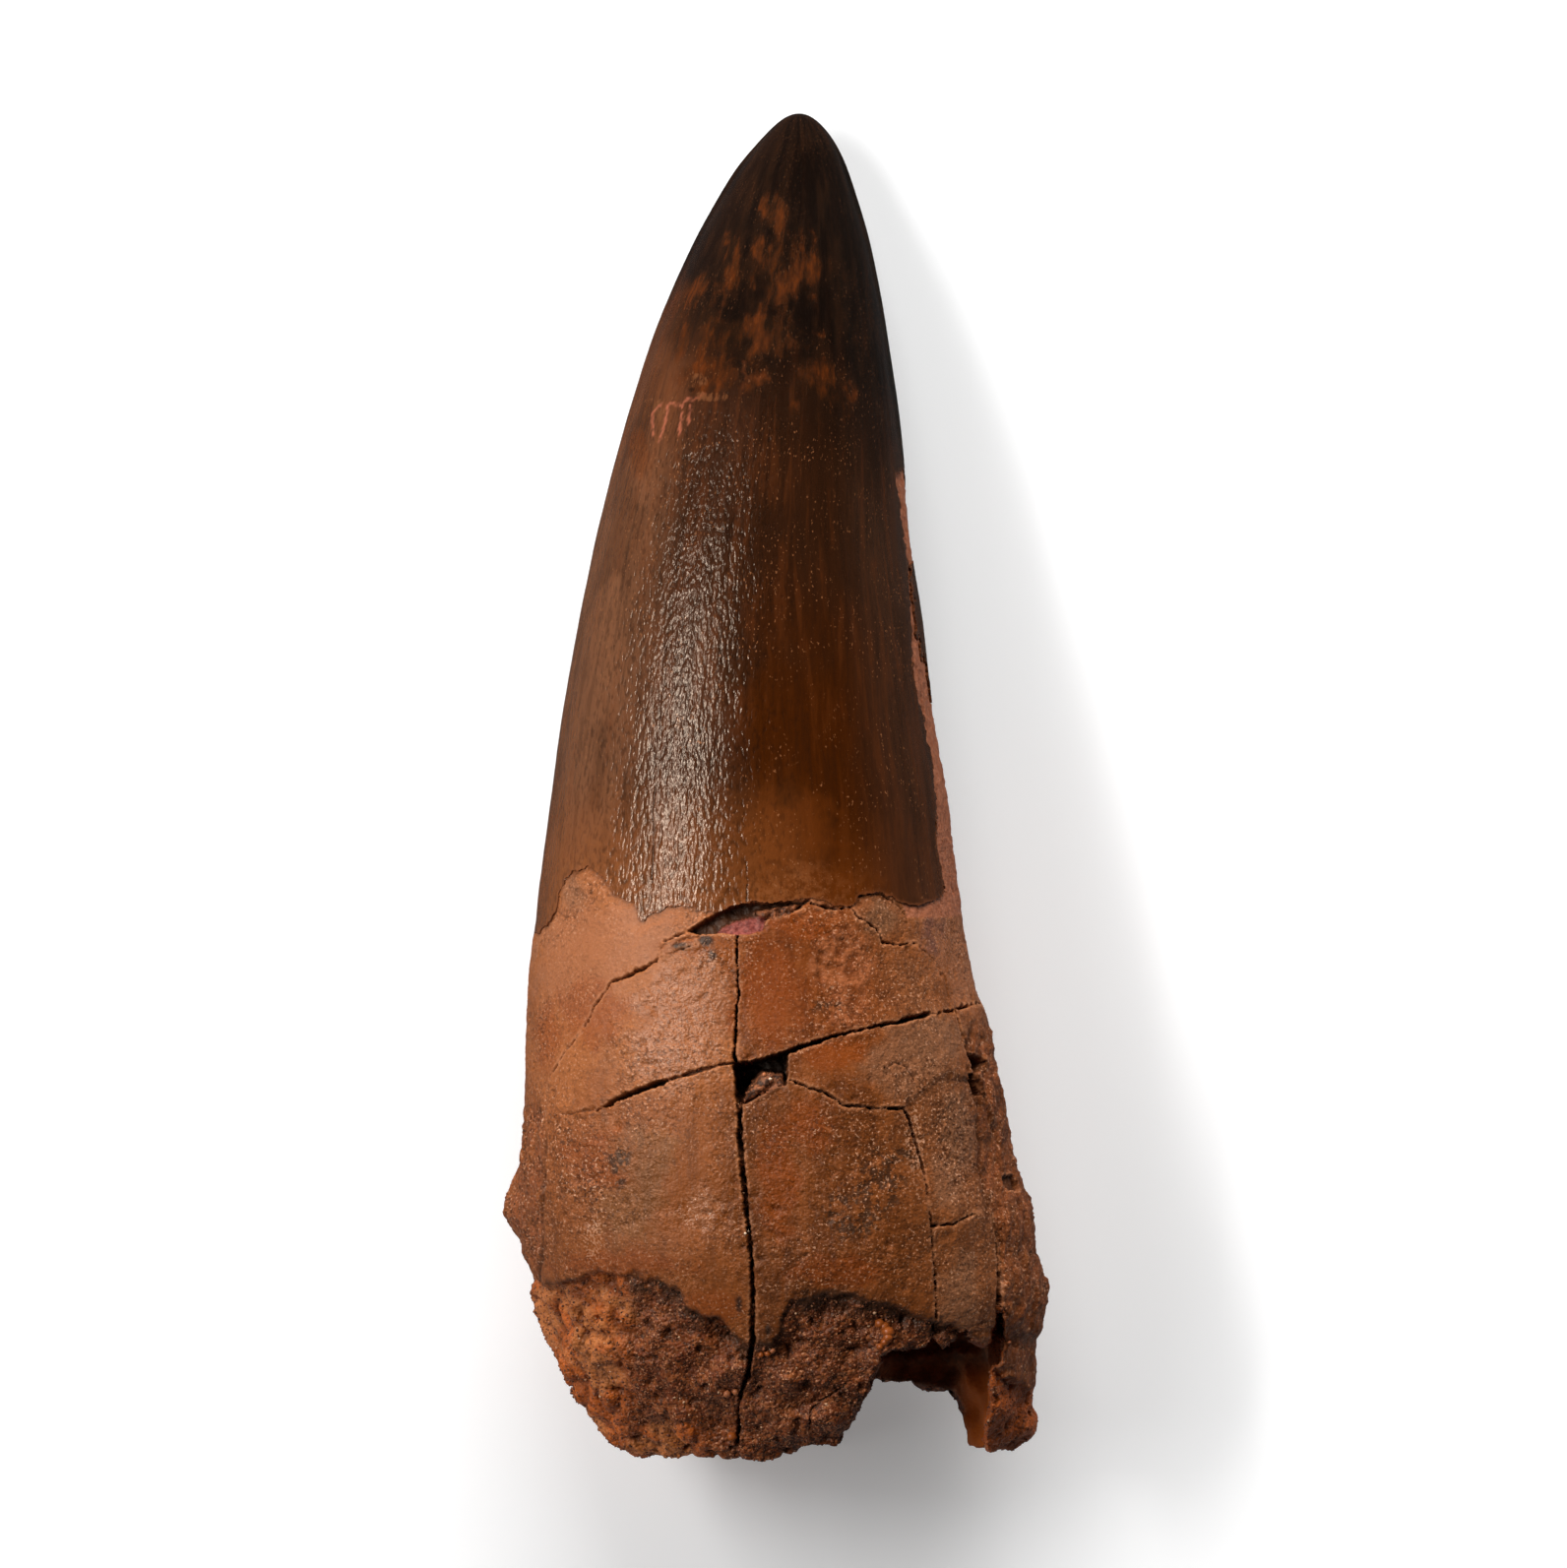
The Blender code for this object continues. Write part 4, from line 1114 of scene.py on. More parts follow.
def point_normals(points, triangles):
    normal = np.zeros_like(points)
    face = face_normals(points[triangles])
    for k in range(3):
        np.add.at(normal, triangles[:, k], face)
    return normal


def smooth_normals(points, triangles, kinds):
    """Unit normals, taken from the skin alone wherever a point lies on it, and which points do."""
    skin = point_normals(points, triangles[kinds == SKIN])
    rest = point_normals(points, triangles[kinds != SKIN])
    on_skin = np.linalg.norm(skin, axis=1) > 0
    return unit(np.where(on_skin[:, None], skin, rest)), on_skin


def evened(triangles, values, rounds):
    """Values at the points, each averaged with its neighbours' values a few times."""
    edges, _ = edges_of(triangles)
    count = np.bincount(edges.ravel(), minlength=len(values)) + 1.0
    if values.ndim > 1:
        count = count[:, None]
    for _ in range(rounds):
        total = values.copy()
        np.add.at(total, edges[:, 0], values[edges[:, 1]])
        np.add.at(total, edges[:, 1], values[edges[:, 0]])
        values = total / count
    return values


def outward_ways(points):
    """Unit vectors that point straight out of the smooth form, in each point's section."""
    _, _, wide, thick, square = section(points[:, 1])
    across, up, _ = section_shares(points)
    way = np.zeros_like(points)
    way[:, 0] = np.sign(across) * np.abs(across) ** (square - 1) / np.maximum(wide, THIN)
    way[:, 2] = np.sign(up) * np.abs(up) ** (square - 1) / np.maximum(thick, THIN)
    return unit(way)


def rim_edges(triangles):
    """The directed edges that have a triangle on one side only."""
    pairs = sides_of(triangles)
    _, number, count = np.unique(edge_keys(pairs), return_inverse=True, return_counts=True)
    return pairs[count[number] == 1]


def closed_inside(points, triangles, normals, wall, centre):
    """The mesh closed from its open rim: a wall straight in, then a cone to a point inside."""
    rim = rim_edges(triangles)
    corners = np.unique(rim)
    inner = np.full(len(points) + 1, -1)
    inner[corners] = len(points) + np.arange(len(corners))
    points = np.concatenate([points, points[corners] - wall * normals[corners], [centre]])
    a, b = rim.T
    middle = np.full(len(a), len(points) - 1)
    wall_faces = [np.column_stack([b, a, inner[a]]), np.column_stack([b, inner[a], inner[b]])]
    cone = np.column_stack([inner[b], inner[a], middle])
    return points, np.concatenate([triangles, *wall_faces, cone])


def patches(points, blobs, seed, ragged=0.35):
    """Soft-edged ellipses seen from above, with wavering edges, on the upper side only."""
    waver = ragged * (ripple(points, 2.2, seed) + 0.6 * ripple(points, 0.8, seed + 1))
    found = np.zeros(len(points))
    for x, y, wide, long in blobs:
        apart = np.hypot((points[:, 0] - x) / wide, (points[:, 1] - y) / long)
        found = np.maximum(found, smooth_step(1.25, 0.6, apart + waver))
    return found * upward(points)


def patch_masks(points, named_blobs, seed):
    return {
        name: patches(points, blobs, seed + 7 * i)
        for i, (name, blobs) in enumerate(named_blobs.items())
    }


def grain_place(points):
    """The points wrapped onto a cylinder, so that lengthwise streaks run together at the tip."""
    across, up, _ = section_shares(points)
    angle = np.arctan2(up, across)
    return np.column_stack([
        GRAIN_RADIUS * np.cos(angle), points[:, 1], GRAIN_RADIUS * np.sin(angle)
    ])


def common_relief(points, past_ledge):
    """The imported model's own relief: lumps, ledge, knob and carina."""
    across, up, _ = section_shares(points)
    on_root = smooth_step(ROOT_RELIEF_FROM, ROOT_RELIEF_FULL, CROWN_BASE_Y - points[:, 1])
    side_angle = np.degrees(np.arctan2(np.abs(up), np.abs(across)))
    facing = smooth_step(0.0, LEDGE_FADES_BELOW, np.abs(up))
    in_crust = smooth_step(-0.1, 0.3, past_ledge)
    out = on_root * lumps(points, ROOT_LUMPS)
    out += in_crust * (lumps(points, CRUST_LUMPS) - LEDGE_HEIGHT * facing)
    from_knob = np.linalg.norm(points - np.array(KNOB["centre"]), axis=1) / KNOB["radius"]
    out += KNOB["height"] * np.exp(-from_knob ** 2)
    out += (1 - on_root) * CARINA_HEIGHT * np.exp(-(side_angle / CARINA_HALF_ANGLE) ** 2)
    return out * smooth_step(0.0, RELIEF_FREE_TIP, TIP_Y - points[:, 1])


def calm_crust(points):
    """1 on the crust's smooth left side and lower left rim, 0 where it is granular."""
    waver = 0.9 * ripple(points, 3.0, 50)
    x, y = points[:, 0] + waver, points[:, 1] + waver
    rim = smooth_step(-61.0, -62.4, y) * smooth_step(-5.0, -8.0, x)
    return np.maximum(smooth_step(-13.8, -15.6, x), rim)


def sandstone(points, calm):
    """The crust's own roughness: knolls, lumps, grains and pits, and rounded lumps where calm."""
    granular = 0.34 * rough(points, 2.6, 51) + 0.01
    granular += 0.2 * (pebbled(points, 1.3, 53) + pebbled(points, 0.55, 55))
    granular -= 0.4 * smooth_step(0.42, 0.62, ripple(points, 1.4, 57))
    large, small = np.abs(ripple(points, 3.2, 58)), np.abs(ripple(points, 1.4, 59))
    rounded = 1.5 * np.minimum(large, 0.4) + 0.6 * np.minimum(small, 0.4) - 0.5
    rounded += 0.06 * ripple(points, 0.5, 60)
    holes = -0.5 * smooth_step(0.5, 0.64, ripple(points, 1.7, 61))
    return granular + calm * (rounded + holes - granular)


def crack_fields(points, at):
    """How deep the cracks and openings go, and masks for their fill, their rims and lumps."""
    low = np.zeros(len(points))
    fill = np.zeros(len(points))
    lip = np.zeros(len(points))
    waver = 0.09 * ripple(points, 1.1, 191) + 0.06 * ripple(points, 0.4, 192)
    for number, (depth, filled, route) in enumerate(crack_routes):
        apart = line_distance(at, route) + waver + CRACK_NARROWING
        within = smooth_step(*CRACK_WALL, apart)
        patchy = np.clip(filled * (0.8 + 0.9 * ripple(points, 1.5, 200 + number)), 0.0, 1.0)
        low = np.maximum(low, within * (depth * (1 - patchy) + FILLED_DEPTH * patchy))
        fill = np.maximum(fill, within * patchy)
        lip = np.maximum(lip, np.exp(-((apart - LIP_FROM_EDGE) / LIP_WIDTH) ** 2))
    for route in hairline_routes:
        apart = line_distance(at, route) + 0.5 * waver
        low = np.maximum(low, smooth_step(*CRACK_WALL, apart) * HAIRLINE_DEPTH)
    for depth, outline in OPENINGS.values():
        apart = -outline_distance(at, outline)
        deep = depth * (1 + 0.15 * ripple(points, 1.0, 61))
        low = np.maximum(low, smooth_step(*OPENING_WALL, apart) * deep)
        lip = np.maximum(lip, np.exp(-((apart - LIP_FROM_EDGE) / LIP_WIDTH) ** 2))
    raised = {}
    for name, (top, slope, (height, size, seed, layers), outline) in FILLS.items():
        within = smooth_step(-0.05, slope, outline_distance(at, outline))
        shallow = np.maximum(top - height * rough(points, size, seed, layers) * within, 0.0)
        low = low + within * (np.minimum(low, shallow) - low)
        raised[name] = within
    return low, fill, lip, raised


def strip_fields(points, crust):
    """Masks for the rough strips down the root's sides, and for the seams where they begin."""
    side, seam = np.zeros(len(points)), np.zeros(len(points))
    waver = 0.25 * ripple(points, 2.0, 77)
    for way, top, line in STRIPS:
        line_y, line_x = np.array(line).T
        into = way * (points[:, 0] - np.interp(points[:, 1], line_y, line_x) + waver)
        there = smooth_step(0.5, -1.5, points[:, 1] - top) * (1 - crust) * upward(points)
        side = np.maximum(side, there * smooth_step(0.0, 0.5, into))
        seam = np.maximum(seam, there * np.exp(-((into - 0.1) / 0.2) ** 2))
    return side, seam * smooth_step(-0.35, 0.1, ripple(points, 3.0, 76))


def scar_fields(points):
    """The scar on the upper plate: where it lies, its crests, and its height."""
    from_scar = np.hypot(points[:, 0] - SCAR["centre"][0], points[:, 1] - SCAR["centre"][1])
    scar = smooth_step(1.15, 0.7, from_scar / SCAR["radius"] + 0.2 * ripple(points, 1.6, 71))
    x, y, wide, long = SCAR["tail"]
    tail = smooth_step(1.2, 0.5, np.hypot((points[:, 0] - x) / wide, (points[:, 1] - y) / long))
    scar = np.maximum(scar, 0.8 * tail) * upward(points)
    from_wall = from_scar + 0.5 * ripple(points, 1.6, 74) - 0.8 * SCAR["radius"]
    crests = 1 - 2.4 * np.abs(rough(points, 1.7, 73, 4))
    height = scar * SCAR["height"] * (0.5 * crests + 0.5 * np.exp(-(from_wall / 0.3) ** 2) - 0.6)
    return scar, crests, height


def plate_relief(points, at, masks, plate, sandy):
    """Heights of the root's plates, strips and seams, and their sandy roughness."""
    height = np.zeros(len(points))
    for rise, outline in PLATES.values():
        height += rise * smooth_step(-PLATE_SLOPE, PLATE_SLOPE, outline_distance(at, outline))
    coarse = 0.34 * rough(points * (1.0, 0.55, 1.0), 1.5, 79, 4) + 0.2 * pebbled(points, 0.8, 78)
    height += masks["side"] * (coarse - 0.12) - 0.4 * masks["seam"]
    height += sandy * 0.07 * (rough(points, 1.1, 82) + pebbled(points, 0.5, 81))
    height -= sandy * 0.2 * smooth_step(0.55, 0.7, ripple(points, 1.1, 84))
    height += plate * masks["crumbly"] * (0.13 * rough(points, 1.0, 86) - 0.04)
    height += plate * 0.05 * ripple(points, 3.0, 83)
    return height + masks["fibrous"] * 0.14 * rough(points * (1.0, 0.28, 1.0), 0.8, 85)


def root_fields(points, loose, in_hollow):
    """Masks and heights for the root's mesh. Loose is 1 on broken faces and 0 on the skin."""
    across, _, _ = section_shares(points)
    past = ragged_ledge(points)
    enamel = enamel_distance(points)
    crust = np.maximum(smooth_step(-0.1, 0.35, past), smooth_step(0.2, 0.8, loose))
    at = shaken(points, *SHAKEN_CRACKS)
    low, fill, lip, raised = crack_fields(points, at)
    scar, crests, scar_height = scar_fields(points)
    masks = patch_masks(points, PATCHES, 300)
    masks["spots"] = patches(points, PATCHES["spots"], 350, 0.2)
    masks["side"], masks["seam"] = strip_fields(points, crust)
    masks["fibrous"] = smooth_step(*FIBROUS_ACROSS, across) * (1 - crust)
    masks["fibrous"] *= points[:, 1] < FIBROUS_BELOW
    polished = np.clip(masks.pop("smooth") - masks["sparkle"], 0.0, 1.0)
    sandy = (1 - 0.8 * polished) * (1 - crust) * smooth_step(0.3, -0.6, enamel)

    calm = calm_crust(points)
    stone = sandstone(points, calm)
    uneven = 0.4 * rough(points, 3.2, 88) + 0.05 * ripple(points, 0.8, 89)
    bare = (across > BARE_ACROSS) & (points[:, 1] > BARE_ABOVE)
    height = scar_height - low + plate_relief(points, at, masks, 1 - crust, sandy)
    height += crust * (stone + in_hollow * (uneven - stone))
    height -= ENAMEL_THICKNESS * smooth_step(-1.6, -0.1, enamel)
    height += np.where(bare, 0.07 * rough(points, 0.7, 87) - 0.08, 0.0)

    masks.update({
        "across": across,
        "along": points[:, 1] / HALF_LENGTH,
        "granular": 1 - calm,
        "broken": crust,
        "crust": crust * (1 - in_hollow),
        "hollow": in_hollow,
        "spur": smooth_step(17.0, 19.5, points[:, 0]) * smooth_step(-55.5, -58.0, points[:, 1]),
        # Painted shade in the cracks: dark brown in every crack, darker where it goes deeper.
        "deep": smooth_step(0.6, 2.0, low),
        "crack": smooth_step(0.08, 0.35, low) * (1 - raised["pink_fill"]),
        "fill": np.clip(fill + raised["hole_rubble"] + 0.7 * raised["slit_rubble"], 0, 1),
        "pink_fill": raised["pink_fill"] * smooth_step(0.3, 0.6, low),
        # Pale rims along the cracks: chipped wear, and partly a painted highlight.
        "lip": lip * (1 - smooth_step(0.1, 0.3, low)) * (1 - crust),
        "scar": scar,
        "crests": scar * smooth_step(0.1, 0.7, crests),
        "rimmed": smooth_step(19.8, 18.2, points[:, 0]),
        # Painted shade: where the crust's relief dips low.
        "low": crust * (1 - in_hollow) * smooth_step(0.0, -0.4, stone),
        "bare": np.where(bare, 1.0, 0.0),
        "past": np.clip(past, -PAST_SHOWN, PAST_SHOWN),
        "enamel_near": smooth_step(-ENAMEL_NEAR, 0.0, enamel),
        "polished": polished,
    })
    return common_relief(points, past), height, masks


def crown_fields(points):
    """Masks and heights for the crown's mesh."""
    enamel = enamel_distance(points)
    height = common_relief(points, ledge_distance(points))
    grain = grain_place(points)
    calm_tip = smooth_step(4.0, 26.0, TIP_Y - points[:, 1])
    height += calm_tip * 0.03 * rough(grain * (1.0, 0.12, 1.0), 1.3, 91)
    height += calm_tip * 0.014 * rough(grain * (1.0, 0.4, 1.0), 0.8, 97, 2)
    height += 0.03 * ripple(points, 5.0, 92)
    height += smooth_step(3.0, 0.2, enamel) * 0.04 * rough(points, 0.8, 94)
    line = nearest_line(shaken(points, SHAKEN_LINES), enamel_line_routes)
    in_line = smooth_step(0.05, -0.04, line)
    height -= ENAMEL_LINE_DEPTH * in_line

    masks = patch_masks(points, CROWN_PATCHES, 400)
    shaky = shaken(points, SHAKEN_SCRATCHES)
    scratch = nearest_line(shaky, scratch_routes)
    rust = nearest_line(shaky, rust_line_routes)
    across = section_shares(points)[0]
    from_band = np.abs(across + 0.38) + 0.15 * ripple(points, 4.0, 98)
    below_tip = points[:, 1] + 2.5 * ripple(points, 4.0, 96)
    wrinkled = 0.25 + 0.75 * smooth_step(0.75, 0.3, from_band)
    worn_off = 0.3 + 0.7 * smooth_step(-6.5, -9.5, points[:, 0])
    masks.update({
        "across": across,
        "along": points[:, 1] / HALF_LENGTH,
        "scratch": smooth_step(0.12, -0.06, scratch) * worn_off,
        "rust": np.maximum(masks["rust"], smooth_step(0.3, -0.1, rust)),
        "line": in_line,
        # Paler enamel near its edge: wear, and partly a painted highlight.
        "worn_and_highlight": smooth_step(5.0, 0.3, enamel + 1.2 * ripple(points, 2.5, 95)) * upward(points),
        "edge": smooth_step(0.35, 0.0, enamel),
        "wrinkled": wrinkled * smooth_step(46.0, 30.0, below_tip),
    })
    return height, masks


def mesh_piece(name, points, triangles, masks, vectors, material):
    """An object from arrays in millimetres, with its masks as attributes."""
    data = bpy.data.meshes.new(name)
    data.vertices.add(len(points))
    data.vertices.foreach_set("co", (points * MM).astype(np.float32).ravel())
    data.loops.add(triangles.size)
    data.loops.foreach_set("vertex_index", triangles.ravel().astype(np.int32))
    data.polygons.add(len(triangles))
    data.polygons.foreach_set("loop_start", np.arange(0, triangles.size, 3, dtype=np.int32))
    data.update(calc_edges=True)
    data.validate()
    for named, kind, entry in ((masks, "FLOAT", "value"), (vectors, "FLOAT_VECTOR", "vector")):
        for key, values in named.items():
            attribute = data.attributes.new(key, kind, "POINT")
            attribute.data.foreach_set(entry, np.asarray(values, np.float32).ravel())
    data.shade_smooth()
    data.materials.append(material)
    made = bpy.data.objects.new(name, data)
    bpy.context.scene.collection.objects.link(made)
    return made


def stretched(values, extra):
    """Point values carried on to the extra points that close a mesh inside."""
    return np.concatenate([values, np.repeat(values[-1:], extra, axis=0)])


def keep_sharp(data, rim):
    """Marks a piece's rim sharp, so that the wall behind it doesn't bend the light on its skin."""
    pairs = values_of(data.edges, "vertices", 2).astype(int)
    on_rim = np.isin(edge_keys(pairs), edge_keys(rim))
    data.attributes.new("sharp_edge", "BOOLEAN", "EDGE").data.foreach_set("value", on_rim)


def closed_piece(name, points, triangles, normals, masks, wall, core, material):
    """A piece made of some of a mesh's triangles, closed inside."""
    used, triangles = compacted(triangles)
    points, normals = points[used], normals[used]
    closed, faces = closed_inside(points, triangles, normals, wall, np.array(core))
    extra = len(closed) - len(points)
    masks = {key: stretched(value[used], extra) for key, value in masks.items()}
    grain = stretched(grain_place(points), extra)
    print(name, len(faces), "triangles")
    made = mesh_piece(name, closed, faces, masks, {"grain": grain}, material)
    keep_sharp(made.data, rim_edges(triangles))
    return made


def raised_by(points, normals, height):
    """The points moved out by their heights, but not down through the floor."""
    raised = points + height[:, None] * normals
    raised[:, 2] = np.maximum(raised[:, 2], 0.0)
    return raised


def make_crown(coarse, material):
    points, triangles, kinds = divided(*coarse, crown_edge_length)
    points, triangles, kinds = kept_where(points, triangles, kinds, enamel_distance(points))
    normals, _ = smooth_normals(points, triangles, kinds)
    height, masks = crown_fields(points)
    raised = raised_by(points, normals, height)
    return closed_piece(
        "crown", raised, triangles, normals, masks, ENAMEL_WALL, CROWN_CORE, material
    )


def make_root(coarse, root_paint, sand_paint):
    """The root in its two pieces, and the sand on them."""
    points, triangles, kinds = divided(*coarse, root_edge_length)
    field = ENAMEL_OVERLAP - enamel_distance(points)
    points, triangles, kinds = kept_where(points, triangles, kinds, field)
    normals, on_skin = smooth_normals(points, triangles, kinds)
    normals = unit(evened(triangles, normals, 4))
    loose = evened(triangles, np.where(on_skin, 0.0, 1.0), 3)
    in_hollow = np.zeros(len(points))
    in_hollow[triangles[kinds == HOLLOW].ravel()] = 1.0
    in_hollow = evened(triangles, np.where(on_skin, 0.0, in_hollow), 3)
    relief, height, masks = root_fields(points, loose, in_hollow)
    carried = relief * smooth_step(0.45, 1.0, section_shares(points)[2])
    raised = points + carried[:, None] * outward_ways(points)
    raised = raised_by(raised, normals, height)
    middle = points[triangles].mean(axis=1)
    line = np.where(on_upper_side(middle), upper_split(middle[:, 0]), under_split(middle[:, 0]))
    above = middle[:, 1] > line
    made = [
        closed_piece(name, raised, triangles[chosen], normals, masks, ROOT_WALL, core, root_paint)
        for name, chosen, core in (
            ("upper_root", above, UPPER_ROOT_CORE), ("lower_root", ~above, LOWER_ROOT_CORE),
        )
    ]
    return *made, make_sand(raised, triangles, masks, sand_paint)


def icosphere():
    mesh = bmesh.new()
    bmesh.ops.create_icosphere(mesh, subdivisions=1, radius=1.0)
    points = np.array([v.co for v in mesh.verts])
    triangles = np.array([[v.index for v in f.verts] for f in mesh.faces])
    mesh.free()
    return points, triangles


def turned_grain(rng, ball, widths, radius):
    """A ball made uneven within these widths, and turned any way."""
    turn = np.array(Matrix.Rotation(rng.random() * FULL_TURN, 3, Vector(rng.normal(size=3))))
    return (ball * rng.uniform(*widths, 3) * radius) @ turn.T


def make_sand(points, triangles, masks, material):
    """Grains half sunk in the crust and in the filled cracks, joined into one mesh."""
    rng = np.random.default_rng(SAND_SEED)
    corners = points[triangles]
    face = face_normals(corners)
    area = np.linalg.norm(face, axis=1) / 2
    sandy = np.maximum(masks["crust"], masks["fill"])[triangles].mean(axis=1)
    shown = 0.35 + 0.65 * upward(corners.mean(axis=1))
    weight = area * smooth_step(0.3, 0.8, sandy) * shown
    chosen = rng.choice(len(triangles), SAND_GRAINS, p=weight / weight.sum())
    spot = rng.random((SAND_GRAINS, 2))
    over = spot.sum(axis=1) > 1
    spot[over] = 1 - spot[over]
    a, b, c = corners[chosen].transpose(1, 0, 2)
    place = a + spot[:, :1] * (b - a) + spot[:, 1:] * (c - a)
    normal = unit(face[chosen])
    low, high = SAND_SIZE
    radius = low + (high - low) * rng.random(SAND_GRAINS) ** 2
    ball, ball_faces = icosphere()
    grains, tones = [], []
    for i in range(SAND_GRAINS):
        shape = turned_grain(rng, ball, SAND_SHAPE, radius[i])
        grains.append(place[i] - SUNK * radius[i] * normal[i] + shape)
        tones.append(rng.random())
    for x, y, size, tone in NUGGETS:
        near = np.hypot(points[:, 0] - x, points[:, 1] - y) < SEAT_RADIUS
        floor = np.median(points[near & on_upper_side(points)][:, 2])
        shape = turned_grain(rng, ball, NUGGET_SHAPE, size)
        grains.append(np.array((x, y, floor + NUGGET_RISE * size)) + shape)
        tones.append(tone)
    all_points = np.concatenate(grains)
    all_points[:, 2] = np.maximum(all_points[:, 2], 0.0)
    all_faces = np.concatenate([ball_faces + i * len(ball) for i in range(len(grains))])
    masks = {"tone": np.repeat(tones, len(ball))}
    return mesh_piece("sand_grains", all_points, all_faces, masks, {}, material)


class Paint:
    """Short names for the nodes of one material. A tuple of 0 to 255 is a colour in the picture."""

    def __init__(self, name):
        self.material = bpy.data.materials.new(name)
        self.material.use_nodes = True
        self.tree = self.material.node_tree
        self.shader = self.tree.nodes["Principled BSDF"]

    def put(self, target, value):
        if isinstance(value, bpy.types.NodeSocket):
            self.tree.links.new(value, target)
        else:
            target.default_value = value

    def node(self, kind, inputs, outlet, **settings):
        """An output of a new node, with its settings made and its inputs filled."""
        node = self.tree.nodes.new("ShaderNode" + kind)
        for name, value in settings.items():
            setattr(node, name, value)
        for name, value in inputs.items():
            self.put(node.inputs[name], value)
        return node.outputs[outlet]

    def mask(self, name):
        return self.node("Attribute", {}, "Fac", attribute_name=name)

    def place(self, stretch_y=1.0, attribute=None):
        """Coordinates in millimetres, scaled along Y: the object's own, or an attribute's."""
        if attribute:
            source, unit = self.node("Attribute", {}, "Vector", attribute_name=attribute), 1.0
        else:
            source, unit = self.node("TexCoord", {}, "Object"), 1 / MM
        scale = (unit, unit * stretch_y, unit)
        return self.node("VectorMath", {0: source, 1: scale}, "Vector", operation="MULTIPLY")

    def noise(self, size, place=None, detail=3.0, roughness=0.55):
        inputs = {"Vector": place or self.place(), "Scale": 1 / size, "Detail": detail}
        return self.node("TexNoise", {**inputs, "Roughness": roughness}, "Fac")

    def cells(self, size, outlet="Distance"):
        return self.node("TexVoronoi", {"Vector": self.place(), "Scale": 1 / size}, outlet)

    def math(self, operation, first, second):
        return self.node("Math", {0: first, 1: second}, "Value", operation=operation)

    def times(self, *values):
        return functools.reduce(functools.partial(self.math, "MULTIPLY"), values)

    def add(self, *values):
        return functools.reduce(functools.partial(self.math, "ADD"), values)

    def less(self, first, second):
        return self.math("SUBTRACT", first, second)

    def centred(self, value, height, mask):
        """Relief in millimetres from a noise around one half, where a mask allows it."""
        return self.times(self.less(value, 0.5), height, mask)

    def rise(self, value, low, high):
        """0 below low and 1 above high, smooth in between. Low may be above high."""
        inputs = {"Value": value, "From Min": low, "From Max": high}
        return self.node("MapRange", inputs, "Result", interpolation_type="SMOOTHSTEP")

    def between(self, value, low, high):
        """A value from 0 to 1 carried over to the span from low to high."""
        return self.node("MapRange", {"Value": value, "To Min": low, "To Max": high}, "Result")

    def mix(self, share, first, second):
        first, second = ((*seen(*c), 1.0) if isinstance(c, tuple) else c for c in (first, second))
        return self.node("Mix", {0: share, 6: first, 7: second}, 2, data_type="RGBA")

    def over(self, colour, *layers):
        """The colour with layers over it: each is a tint and the shares that thin it out."""
        for tint, *shares in layers:
            colour = self.mix(self.times(*shares), colour, tint)
        return colour

    def shade(self, colour, amount):
        """The colour made darker or lighter by an amount around 1."""
        return self.node("VectorMath", {0: colour, "Scale": amount}, "Vector", operation="SCALE")

    def bump(self, height, distance, strength=1.0, below=None):
        """Relief finer than the mesh. Height 0 to 1 stands for the distance in millimetres."""
        inputs = {"Strength": strength, "Distance": distance * MM, "Height": height}
        if below is not None:
            inputs["Normal"] = below
        return self.node("Bump", inputs, "Normal")

    def finish(self, colour, roughness, normal, constants):
        """The finished material. Constants are set directly on the shader's sockets."""
        self.put(self.shader.inputs["Base Color"], colour)
        self.put(self.shader.inputs["Roughness"], roughness)
        self.put(self.shader.inputs["Normal"], normal)
        for name, value in constants.items():
            self.shader.inputs[name].default_value = value
        return self.material


def seen(red, green, blue):
    """A surface's own linear colour, from how it looks in the picture's light (0 to 255)."""
    levels = (level / 255 for level in (red, green, blue))
    linear = (v / 12.92 if v <= 0.04045 else ((v + 0.055) / 1.055) ** 2.4 for v in levels)
    return tuple(value / LIGHT_LEVEL for value in linear)


def enamel_ground(p, along, across):
    """The enamel's main colours: paler and greyer at the left, partly a painted sheen, orange-brown
    at the right, darker upwards.
    """
    right = p.mix(p.rise(along, -0.02, -0.16), (58, 24, 3), (84, 38, 7))
    right = p.mix(p.rise(along, 0.05, 0.4), right, (42, 21, 9))
    # The left colours are the enamel's paler brown with a painted grey sheen in them.
    left = p.mix(p.rise(along, 0.35, 0.6), (110, 70, 46), (98, 56, 32))
    middle = p.mix(p.rise(along, 0.12, 0.4), (72, 41, 25), (54, 29, 16))
    band = p.mix(p.rise(across, -0.42, -0.82), middle, left)
    return p.mix(p.rise(across, 0.08, -0.25), right, band)


